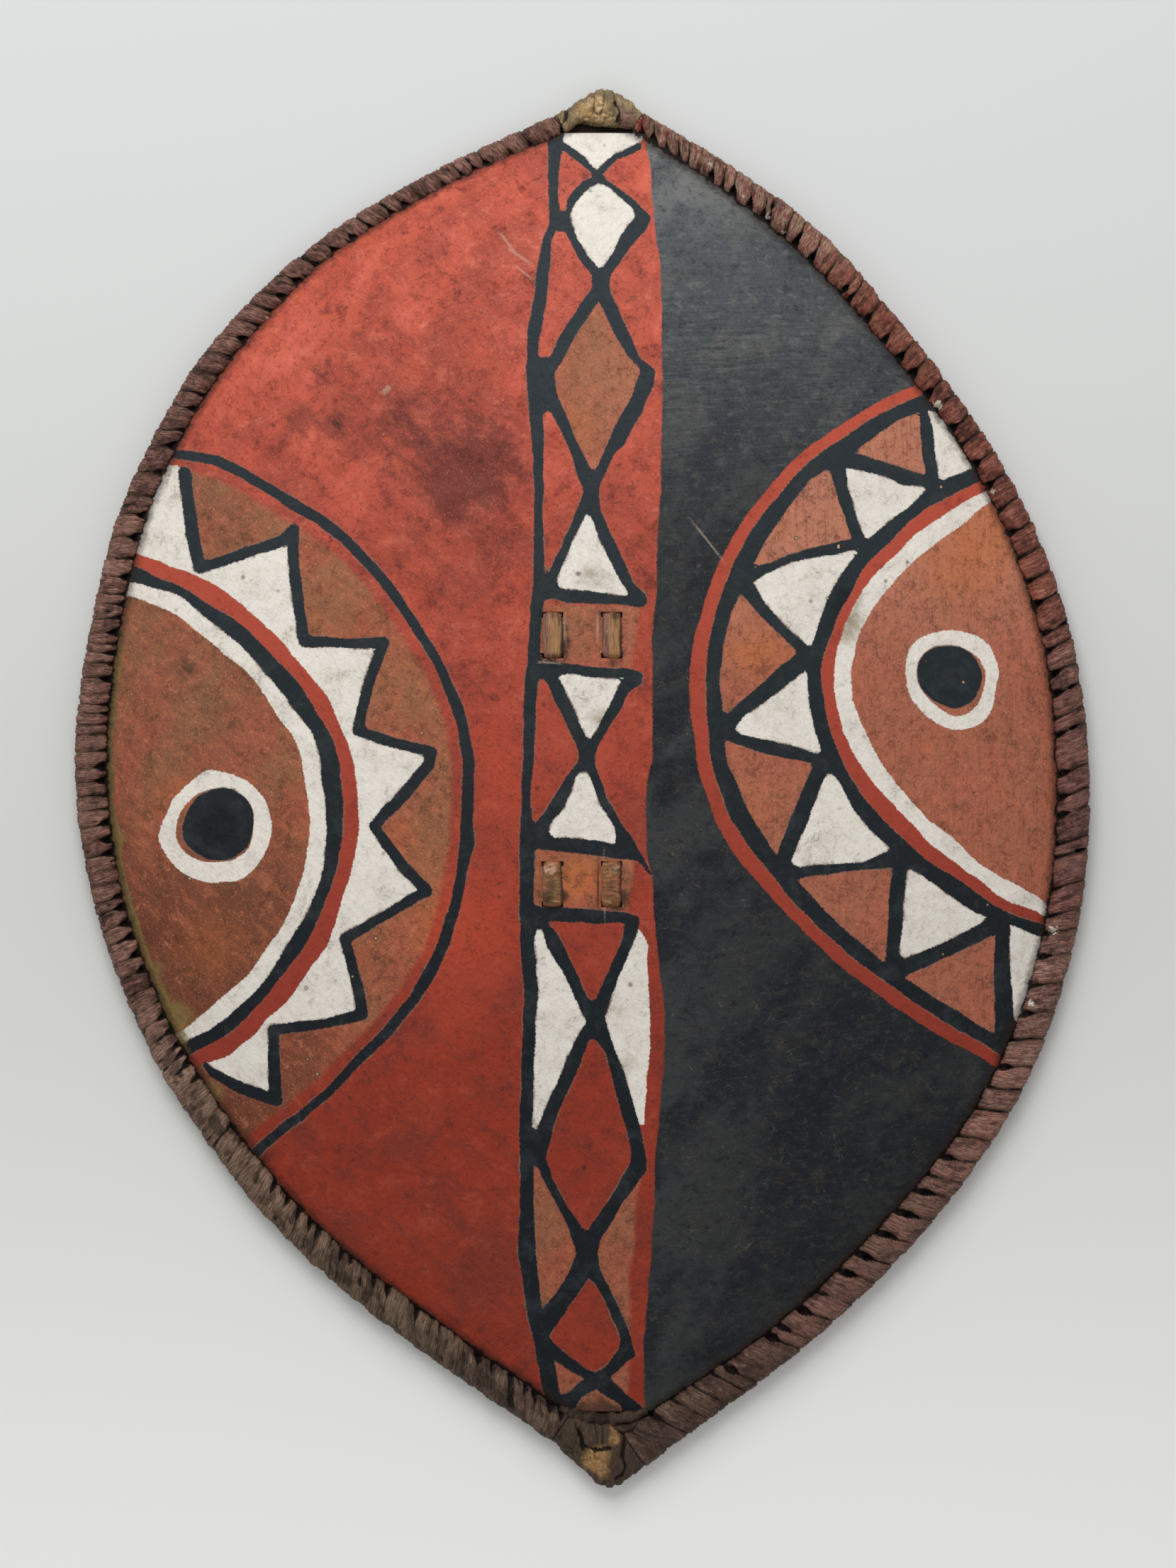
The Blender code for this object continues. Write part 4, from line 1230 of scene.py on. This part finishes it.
fibres = along_strip(0.7, 10, 4)
strands = along_strip(2.2, 14, 4)
plain = spread()
blotches = mottle(plain, 24, 4, 0.6)
flecked = mottle(plain, 5.5, 4, 0.65)
dust = mottle(plain, 3, 4, 0.7)
fine_lines = sums("ABSOLUTE", from_half(along_strip(1.5, 12, 3)))
side_x, up_y = axis("X"), axis("Y")
right_share = rise(side_x, -0.1, 0.12)
low_share = rise(up_y, -0.1, -0.24)
olive_share = times(low_share, rise(side_x, -0.03, -0.1))
light_turn = laid(right_share, (170, 138, 120), (166, 114, 98))
dark_turn = laid(right_share, (98, 74, 62), (90, 57, 48))
upper_right = times(rise(up_y, 0.24, 0.31), right_share)
# Painted highlight: the middle of each plump turn is coloured paler and pinker, as if lit.
crown_highlight = times(rise(kept("crown"), 0.3, 0.8), rise(dust, 0.38, 0.6, 0.1, 0.65))
low_dark = times(rise(up_y, -0.22, -0.34, 0, 0.55), rise(blotches, 0.3, 0.6, 0.6, 1.2))
skin = layers(
    laid(rise(kept("turn_tone"), -1, 1), dark_turn, light_turn),
    (times(olive_share, 0.75), (132, 106, 82)),
    (blotches, 0.45, 0.65, 0.55, (106, 82, 68)),
    (times(upper_right, 0.6), laid(rise(flecked, 0.42, 0.6), (154, 84, 72), (180, 154, 120))),
    (flecked, 0.54, 0.66, 0.6, (126, 112, 84), (112, 96, 70)),
    (flecked, 0.44, 0.34, 0.6, (126, 70, 64), (100, 68, 58)),
    (crown_highlight, laid(right_share, (172, 134, 126), (164, 122, 112))),
    # Painted shade: the sides of the plump turns are coloured darker.
    (kept("turn_edge_shade"), 0.1, 0.75, 0.6, (74, 60, 50)),
    (low_dark, laid(right_share, (84, 70, 56), (78, 56, 48))),
    (up_y, -0.34, -0.41, 0.6, (52, 40, 34)),
    (fibres, 0.52, 0.72, 0.55, (190, 158, 142), (132, 112, 92)),
    (strands, 0.46, 0.3, 0.6, (58, 42, 36)),
    (dust, 0.58, 0.72, 0.5, (160, 138, 108)),
    # Painted shade in the low places of the wrinkles and painted highlight on their high places.
    (kept("wrinkle_shade_and_highlight"), -0.05, -0.5, 0.6, (44, 30, 26)),
    (kept("wrinkle_shade_and_highlight"), 0.15, 0.6, 0.45, (186, 152, 136), (136, 114, 94)),
    (rise(fine_lines, 0.0, 0.035, 0.6, 0), (36, 24, 20)),
    # Painted shade: the valleys between the strands are coloured dark.
    (kept("valley"), 0.35, 1.0, 0.8, (30, 20, 17)),
    by=low_share,
)
left_wash = sums("SUBTRACT", rise(up_y, -0.2, -0.12), right_share)
skin = laid(rise(left_wash, 0, 1), skin, (232, 214, 210), "MULTIPLY")
red_wash = times(rise(up_y, 0.06, 0.12), rise(up_y, 0.36, 0.31))
skin = laid(times(red_wash, right_share), skin, (250, 208, 196), "MULTIPLY")
dim_wash = times(rise(up_y, -0.11, -0.07), rise(up_y, 0.09, 0.05))
skin = laid(times(dim_wash, right_share), skin, (214, 202, 204), "MULTIPLY")
rusty = times(kept("rust"), rise(dust, 0.36, 0.56, 0.3, 1.1))
ragged = mottle(plain, 1.5, 3, 0.7)
chalky = plus(kept("fleck"), times(from_half(ragged), 2.6))
skin = layers(
    skin,
    (rusty, 0.3, 0.8, 0.8, (176, 66, 54)),
    # Painted shade: the creases, holes, gaps and openings go near-black.
    (kept("crease"), 0.15, 0.7, 0.97, (14, 9, 8)),
    (chalky, 0.5, 0.75, 0.9, (224, 212, 196)),
)
shown(skin)
height = plus(fibres, times(strands, 1.3))
relief(plus(height, rise(fine_lines, 0, 0.06, 0, 0.5)), 1.0, 0.9)

for rim, node, side, seed in (
    ("left_rim", "rim_binding_left", LEFT, 100), ("right_rim", "rim_binding_right", RIGHT, 200),
):
    piece = bound_rim(rim, side, seed)
    piece.data.materials.append(binding)
    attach(piece, "root")
    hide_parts(node)

# Knots. At each tip the ends of the two bindings are tied in a lump of folded rawhide, with flat
# ends tucked under the hide's tip or lapped over it. The ends tucked under the tips are painted
# near-black as the shadow in the gap under each knot. The folds dried crumpled, pale and golden
# where they rub, and their folds and clefts carry painted shade.
KNOT_GAP, KNOT_END_SHARE = 0.5, 0.96
KNOT_STEPS, KNOT_POINTS = 34, 96
TUCK_STEPS, TUCK_POINTS = 16, 32
# Sections of a knot: a middle in plan, a half width, a half height and a turn in degrees.
TOP_KNOT = ((2, 434.5, 10, 8.5, 12), (12.6, 437.4, 12.9, 10, 0), (24, 435, 11, 9, -14))
BOTTOM_KNOT = ((3, -420.5, 17, 10.5, -22), (17.6, -427.3, 23.5, 11, 0))
# Golden and mauve patches, clefts with their width, and flat ends with half width, level, half
# thickness and shade. The shade sets how dark a flat end's top is painted; at -1 it is a near-black
# painted shadow under the knot.
TOP_GOLD = ((838, 158, 17, 1.1), (820, 158, 12, 0.6), (860, 166, 12, 0.5), (845, 140, 10, 0.5))
TOP_MAUVE = ((888, 172, 18, 1.0), (800, 158, 12, 0.7), (872, 150, 14, 0.5))
BOTTOM_GOLD = (
    (835, 2060, 16, 1.1), (850, 2050, 14, 0.8), (867, 2030, 8, 1.2), (866, 2014, 8, 0.9),
    (852, 2078, 12, 0.7),
)
BOTTOM_MAUVE = (
    (905, 2040, 26, 1.2), (890, 2068, 24, 1.1), (870, 2085, 16, 0.8), (820, 2010, 26, 0.7),
    (850, 2005, 20, 0.6),
)
TOP_CLEFTS = (((793, 148), (798, 162), (792, 178), 1.4), ((868, 144), (874, 158), (870, 172), 1.2))
BOTTOM_CLEFTS = (
    ((880, 2010), (880, 2034), (878, 2056), 4.0), ((878, 2056), (882, 2074), (870, 2088), 1.6),
    ((814, 2010), (820, 2030), (822, 2046), 1.8), ((822, 2040), (840, 2046), (860, 2044), 1.4),
    ((896, 2016), (912, 2034), (926, 2040), 1.8),
)
TOP_TUCKS = ((((-12, 421), (12, 424), (38, 421)), 8.5, 2.6, 2.1, -1.0),)
BOTTOM_TUCKS = (
    (((-14, -403), (14, -411), (48, -403)), 12.0, 3.4, 2.9, -1.0),
    (((-15, -400), (-2, -404), (15, -406.5), (30, -405), (42, -401)), 4.2, 14.6, 4.0, 0.0),
    (((-20, -404), (-8, -409), (14, -412), (30, -411), (44, -406)), 3.6, 13.6, 4.0, 0.05),
)
KNOT_REDS = ((902, 172, 6, 1.0), (884, 180, 7, 0.45))


def knot_end(side, height, sign):
    height = np.array([height])
    middle, across = rim_middle(side, height)[0], inward(side, height)[0]
    along = np.array((across[1], -across[0])) * sign * KNOT_GAP
    half_width = outline(3 + side, height)[0] / 2 * KNOT_END_SHARE
    half_height = rim_half_height(side, height)[0] * KNOT_END_SHARE
    return (*(middle + along), *across, half_width, half_height)


def tucked_end(name, line, half_width, level, half_thick, shade, seed):
    """Flat folded end of the binding, under the tip of the hide or lapped over it."""
    path = curve(line, TUCK_STEPS)
    run = unit(np.gradient(path, axis=0))
    turn = np.linspace(0, 2 * np.pi, TUCK_POINTS, endpoint=False)
    taper = np.sin(np.linspace(0.35, np.pi - 0.35, len(path)))[:, None] ** 0.5
    wide, thick = half_width * np.cos(turn) * taper, half_thick * np.sin(turn) * taper
    points = swept(path, np.stack((-run[:, 1], run[:, 0]), axis=1), wide, thick)
    folds = lumps(points[..., 0], points[..., 1] / 2.5, 3.4, seed)
    points[..., 2] = level + thick + 0.3 * half_thick * folds * (thick > 0)
    points[..., 1] += 0.3 * half_thick * lumps(points[..., 0], points[..., 1], 4, seed + 1)
    dull = np.zeros(wide.shape)
    # Painted shade: the top of the end is coloured darker as its shade is lower; at -1 it is a
    # near-black painted shadow.
    fold = np.where(thick < 0, 0.5, shade + 0.34 * np.abs(folds))
    return rolled(name, points, {"fold": fold, "gold": dull, "mauve": dull + 1.0, "rust": dull})


def tied_knot(name, ends, sections, sign, seed, clefts, cleft_depth, golds, mauves):
    keys = [knot_end(LEFT, ends[LEFT], sign)]
    for x, y, half_width, half_height, turn in sections:
        angle = math.radians(turn)
        across = (-math.sin(angle) * sign, math.cos(angle) * sign)
        keys.append((x, y, *across, half_width, half_height))
    keys.append(knot_end(RIGHT, ends[RIGHT], -sign))
    rings = curve(keys, KNOT_STEPS)
    turn = np.linspace(0, 2 * np.pi, KNOT_POINTS, endpoint=False)
    along = lengths_along(rings[:, :2])[:, None]
    ends_in = eased(along, 0, 4) * eased(along[-1] - along, 0, 4)
    half_width, half_height = rings[:, 4:5], rings[:, 5:6]
    level = half_height * EDGE_LEVEL_SHARE
    ring_x = rings[:, :1]
    drawn_in = 0.5 * np.exp(-(((ring_x + 4) / 9) ** 2)) + 0.12 * eased(ring_x, 0, 12)
    lifted_edge = 1 - drawn_in * (sign < 0)

    def skin_points(raised):
        x = (half_width + raised) * np.cos(turn) * np.where(np.cos(turn) > 0, lifted_edge, 1)
        z = np.maximum(level + (half_height + raised) * np.sin(turn), FLOOR_GAP)
        return swept(rings[:, :2], rings[:, 2:4], x, z)

    smooth = skin_points(0 * along)
    seen = photo_place(smooth)
    gaps = [
        stroke(seen, curve([(*point, width) for point in points], 5)) for *points, width in clefts
    ]
    cleft = eased(-either(*gaps), -3.0, 1.0) * (np.sin(turn) > 0)
    gold, mauve = soft(seen, golds), soft(seen, mauves)
    plan_x, plan_y = smooth[..., 0], smooth[..., 1] + 0.8 * smooth[..., 2]
    fold = np.clip(2.4 * np.abs(lumps(plan_x, plan_y / 1.6, 6.5, seed)), 0, 1)
    crumple = lumps(plan_x, plan_y, 2.6, seed + 1)
    thread = lumps(plan_x, plan_y / 5, 1.0, seed + 2)
    shape = 1.2 * (fold - 0.6) + 0.8 * crumple * (0.4 + gold) + 0.35 * thread - 0.2
    shape = ends_in * (shape - cleft_depth * cleft)
    # Painted shade: the fold value colours folds and clefts dark where they sink.
    held = {"fold": np.clip(fold - 1.3 * cleft, -1, 1), "gold": gold, "mauve": mauve}
    return rolled(name, skin_points(shape), {**held, "rust": soft(seen, KNOT_REDS)})


def as_one(piece, *others):
    """Joins the other skins into the first piece."""
    bm = bmesh.new()
    for part in (piece, *others):
        bm.from_mesh(part.data)
    bm.to_mesh(piece.data)
    bm.free()
    for part in others:
        bpy.data.objects.remove(part)
    return piece


finish = knotted = new_finish("tied_rawhide", 0.6, 0.2)
plain = spread()
blotches = mottle(plain, 8, 4, 0.65)
dust = mottle(plain, 1.6, 4, 0.7)
pull = mottle(spread((1.1, 9.0, 3.0)), 1, 4, 0.65)
low_end = rise(axis("Y"), 0.1, -0.1)
crumby = sums("SUBTRACT", 1.0, times(low_end, 0.75))
crumbs = times(rise(mottle(plain, 2.6, 3, 0.6), 0.52, 0.62), crumby)
rusty = times(kept("rust"), rise(dust, 0.36, 0.56, 0.3, 1.1))
top_mauve = laid(blotches, (110, 84, 72), (158, 122, 106))
low_mauve = laid(blotches, (42, 32, 28), (84, 64, 54))
deep_gold = laid(low_end, (144, 108, 66), (112, 78, 44))
pale_gold = laid(low_end, (206, 172, 120), (196, 152, 94))
skin = layers(
    laid(rise(blotches, 0.4, 0.62), (116, 100, 72), (160, 142, 104)),
    (low_end, laid(blotches, (44, 35, 29), (82, 66, 50))),
    (kept("mauve"), 0.2, 0.9, 1, laid(low_end, top_mauve, low_mauve)),
    (kept("gold"), 0.2, 0.95, 0.9, laid(pull, deep_gold, pale_gold)),
    (times(crumbs, rise(kept("gold"), 0.3, 0.9, 0.1, 0.85)), (234, 208, 166)),
    (pull, 0.52, 0.7, 0.4, laid(low_end, (190, 166, 126), (122, 100, 76))),
    (pull, 0.44, 0.32, 0.6, (62, 46, 34)),
    (dust, 0.48, 0.32, 0.5, (58, 44, 34)),
    (rusty, 0.35, 0.85, 0.8, (180, 70, 58)),
    # Painted shade: folds, clefts and the tucked ends are coloured near-black.
    (kept("fold"), 0.22, -0.05, 0.9, (22, 15, 12)),
)
shown(skin)
relief(plus(pull, dust), 1.1, 0.9)

for knot, ends, sections, sign, tucks, seed, *marks in (
    ("top_tie", RIM_TOP, TOP_KNOT, -1, TOP_TUCKS, 300, TOP_CLEFTS, 1.5, TOP_GOLD, TOP_MAUVE),
    ("bottom_tie", RIM_BOTTOM, BOTTOM_KNOT, 1, BOTTOM_TUCKS, 310, BOTTOM_CLEFTS, 3.0, BOTTOM_GOLD,
     BOTTOM_MAUVE),
):
    laps = [tucked_end(f"{knot}_lap_{k}", *tuck, seed + 5 + k) for k, tuck in enumerate(tucks)]
    piece = as_one(tied_knot(knot, ends, sections, sign, seed, *marks), *laps)
    piece.data.materials.append(knotted)
    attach(piece, "root")
    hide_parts("top_knot" if sign < 0 else "bottom_knot")

# Hand grip. A carved wooden bar behind the hide, bent down between two flat feet that the
# thongs hold against the hide. A station has a way from its stitches towards the middle, a depth
# below the hide, a half width, a half thickness and a squareness.
GRIP_STATIONS = (
    (-10.6, 7.2, 24.5, 3.4, 5.0),
    (-9.8, 7.2, 26.0, 4.0, 5.0),
    (8.6, 7.2, 26.0, 4.0, 5.0),
    (9.6, 7.3, 11.8, 4.0, 4.0),
    (14.5, 9.2, 11.4, 4.3, 3.2),
    (20.5, 15.5, 11.4, 5.2, 2.8),
    (26.0, 25.0, 12.0, 6.4, 2.5),
    (32.0, 34.5, 13.0, 7.6, 2.4),
    (41.0, 42.0, 14.0, 8.8, 2.3),
    (54.0, 45.4, 14.6, 9.6, 2.3),
    (67.0, 46.2, 14.9, 9.9, 2.3),
    (80.0, 46.4, 15.0, 10.0, 2.3),
)
GRIP_POINTS, GRIP_STEP = 48, 1.6

stations = [(STITCH_HEIGHTS[0] - way, *rest) for way, *rest in GRIP_STATIONS]
stations += [(STITCH_HEIGHTS[1] + way, *rest) for way, *rest in reversed(GRIP_STATIONS[:-1])]
grip_rings = np.array([(y, float(hide_level(0, y)) - depth, *rest) for y, depth, *rest in stations])
refined = [grip_rings[:1]]
for start, stop in zip(grip_rings, grip_rings[1:]):
    count = max(2, int(abs(stop[0] - start[0]) / GRIP_STEP))
    refined.append(start + (stop - start) * np.linspace(0, 1, count + 1)[1:, None])
grip_rings = np.vstack(refined)
run = unit(np.gradient(grip_rings[:, :2], axis=0))
up = np.stack((run[:, 1], -run[:, 0]), axis=1)


def squared(part, power):
    """Sine or cosine of a turn, drawn out so that the section has rounded corners."""
    return np.sign(part) * np.abs(part) ** power


turn = (np.arange(GRIP_POINTS) + 0.5) * 2 * np.pi / GRIP_POINTS
power = 2 / grip_rings[:, 4:5]
wide = squared(np.cos(turn), power) * grip_rings[:, 2:3]
thick = squared(np.sin(turn), power) * grip_rings[:, 3:4]
grip_points = np.empty((*wide.shape, 3))
grip_points[..., 0] = wide
grip_points[..., 1:] = grip_rings[:, None, :2] + up[:, None] * thick[..., None]
carving = 0.25 * lumps(grip_points[..., 1], turn[None] * 10, 9, 401)
grip_points[..., 0] *= 1 + carving / 20
grip = rolled("grip", grip_points)

finish = wood = new_finish("hand_worn_wood", 0.5, 0.4)
rings_of_growth = mottle(spread((2.2, 60.0, 2.2)), 1, 4, 0.6, 0.4)
lines_of_grain = mottle(spread((0.7, 30.0, 0.7)), 1, 3, 0.6)
handled = mottle(spread(), 26, 4, 0.6)
timber = layers(
    laid(rise(rings_of_growth, 0.35, 0.65), (128, 88, 56), (92, 60, 38)),
    (lines_of_grain, 0.5, 0.7, 0.6, (60, 38, 25)),
    (handled, 0.45, 0.7, 0.55, (78, 50, 32)),
)
shown(timber)
relief(plus(rings_of_growth, lines_of_grain), 0.5, 0.6)
grip.data.materials.append(wood)
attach(grip, "root")
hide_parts("hand_grip")

# Thongs. Four flat leather straps, each through two slits in the hide and round one side of a
# foot of the grip. The stitch on the face is painted over with the panel it crosses.
THONG_CORNER, THONG_CROWN = 2.6, 0.9
THONG_FRONT, THONG_BACK = 3.5, 13.1
THONG_RINGS, THONG_POINTS = 120, 32
PALE_PATCHES = (
    (776, 1226, 9, 1.2), (879, 1267, 6, 1.2), (858, 890, 6, 0.6), (866, 1226, 9, 0.7),
    (782, 900, 7, 0.4),
)
# Dark patches: dirt, and painted shadow where the straps go into their slits.
DIRT_AND_SHADOW_PATCHES = (
    (778, 1248, 9, 0.8), (772, 1268, 10, 0.9), (862, 1250, 9, 0.7), (866, 1272, 9, 0.6),
    (868, 868, 8, 1.0), (782, 868, 7, 0.8), (784, 928, 9, 0.8), (862, 928, 8, 0.5),
)


def tied_thong(name, side, height, seed):
    reach = (THONG_LENGTH - THONG_THICKNESS) / 2
    path = []
    for start, y, z in (
        (0, reach, THONG_FRONT), (90, -reach, THONG_FRONT),
        (180, -reach, -THONG_BACK), (270, reach, -THONG_BACK),
    ):
        middle = (y - math.copysign(THONG_CORNER, y), z - math.copysign(THONG_CORNER, z))
        angles = np.radians(np.arange(start, start + 91, 15))
        path += [middle + THONG_CORNER * np.array((math.cos(a), math.sin(a))) for a in angles]
    path = np.array(path + path[:1])
    lengths = lengths_along(path)
    along = np.linspace(0, lengths[-1], THONG_RINGS, endpoint=False)
    middle = np.stack([np.interp(along, lengths, path[:, k]) for k in (0, 1)], axis=1)
    run = unit(np.roll(middle, -1, axis=0) - np.roll(middle, 1, axis=0))
    out = np.stack((run[:, 1], -run[:, 0]), axis=1)
    turn = np.linspace(0, 2 * np.pi, THONG_POINTS, endpoint=False)
    wide = squared(np.cos(turn), 0.45) * THONG_WIDTH / 2
    thick = squared(np.sin(turn), 0.7) * THONG_THICKNESS / 2
    crown = THONG_CROWN * (1 - (2 * wide / THONG_WIDTH) ** 2) - 0.2
    along = along[:, None]
    wrinkled = height < 0
    creases = (along, wide / 4, 2.2) if wrinkled else (along / 6, wide, 1.8)
    uneven = 0.7 * lumps(along, wide, 5, seed) + crown + 0.6 * lumps(*creases, seed + 1)
    ragged_edge = 1 + 0.1 * lumps(along, np.sign(wide) * 30, 6, seed + 2)
    raised = thick + uneven * (thick > 0) * 0.6
    points = np.empty((THONG_RINGS, THONG_POINTS, 3))
    points[..., 0] = wide * ragged_edge * 0.96
    points[..., 1:] = middle[:, None] + out[:, None] * raised[..., None]
    place = stitch_place(side, height)
    turned = points @ np.array(place.to_3x3()).T + np.array(place.translation)
    plain = np.zeros(turned.shape[:2])
    seen = photo_place(turned)
    held = {
        "across": plain + wide / THONG_WIDTH * 2, "wrinkled": plain + wrinkled,
        "pale": soft(seen, PALE_PATCHES), "dirt_and_shadow": soft(seen, DIRT_AND_SHADOW_PATCHES),
    }
    return rolled(name, turned, held, closed=True)


finish = strap = new_finish("painted_thong", 0.65, 0.2)
plain = spread()
worn = mottle(plain, 7, 4, 0.65)
across_cracks = mottle(spread((5.0, 1.6, 3.0)), 1, 4, 0.65)
long_cracks = mottle(spread((1.3, 14.0, 4.0)), 1, 4, 0.65)
cracks = add("ShaderNodeMix", {0: kept("wrinkled"), 2: long_cracks, 3: across_cracks}).outputs[0]
upper = laid(rise(kept("across"), -0.5, 0.0), (132, 92, 80), (158, 116, 76))
lower = laid(rise(worn, 0.4, 0.6), (146, 92, 60), (112, 76, 52))
pale = times(kept("pale"), rise(mottle(plain, 2.4, 4, 0.7), 0.36, 0.6, 0.2, 1.2))
leather = layers(
    laid(kept("wrinkled"), upper, lower),
    (worn, 0.42, 0.66, 0.5, (138, 106, 60)),
    (pale, 0.2, 0.9, 0.7, (202, 170, 146)),
    (cracks, 0.5, 0.62, 0.7, (72, 50, 38)),
    (cracks, 0.44, 0.32, 0.45, (196, 160, 128)),
    (kept("dirt_and_shadow"), 0.2, 0.9, 0.8, (54, 38, 30)),
    # Painted shade: each strap is coloured darker along its right edge.
    (kept("across"), 0.62, 1.0, 0.85, (44, 30, 24)),
)
shown(leather)
relief(cracks, 0.6, 0.8)

for level, height in zip(("upper", "lower"), STITCH_HEIGHTS):
    for hand_side, side in (("left", -1), ("right", 1)):
        piece = tied_thong(f"{level}_{hand_side}_stitch", side, height, int(500 + height + side))
        piece.data.materials.append(strap)
        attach(piece, "root")
        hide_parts(f"thong_{level}_{hand_side}")

# Floor and light. A pale floor under a large soft light from beyond the shield's top, with even
# white light from all round. The floor is painted lighter beyond the shield's bottom end and a
# little darker from the middle up, a painted fall-off of the light. Sizes are in metres.
FLOOR_HALF = 6
ROOM_LIGHT = 0.54
LIGHT_PLACE, LIGHT_SIZE, LIGHT_POWER = (-0.45, 2.1, 2.2), 2.0, 62

floor_mesh = bmesh.new()
bmesh.ops.create_grid(floor_mesh, x_segments=1, y_segments=1, size=FLOOR_HALF)
floor = modelled("floor", floor_mesh)
finish = paper = new_finish("pale_floor", 0.9, 0.1)
middle = axis("Y")
# Painted light: the floor is coloured lighter towards and beyond the shield's bottom end.
floor_shading = laid(rise(middle, -0.62, -0.02, 0, 1), (244, 244, 242), (211, 212, 209))
floor_shading = laid(rise(middle, -0.1, 0.45, 0, 1), floor_shading, (213, 215, 214))
shown(floor_shading)
floor.data.materials.append(paper)

world = bpy.data.worlds.new("studio")
bpy.context.scene.world = world
world.use_nodes = True
room = world.node_tree.nodes["Background"]
room.inputs["Color"].default_value = (1.0, 1.0, 1.0, 1.0)
room.inputs["Strength"].default_value = ROOM_LIGHT

light = placed("top_light", bpy.data.lights.new("top_light", "AREA"))
light.data.shape = "SQUARE"
light.data.size = LIGHT_SIZE
light.data.energy = LIGHT_POWER
light.location = LIGHT_PLACE
light.rotation_euler = (-light.location).to_track_quat("-Z", "Y").to_euler()
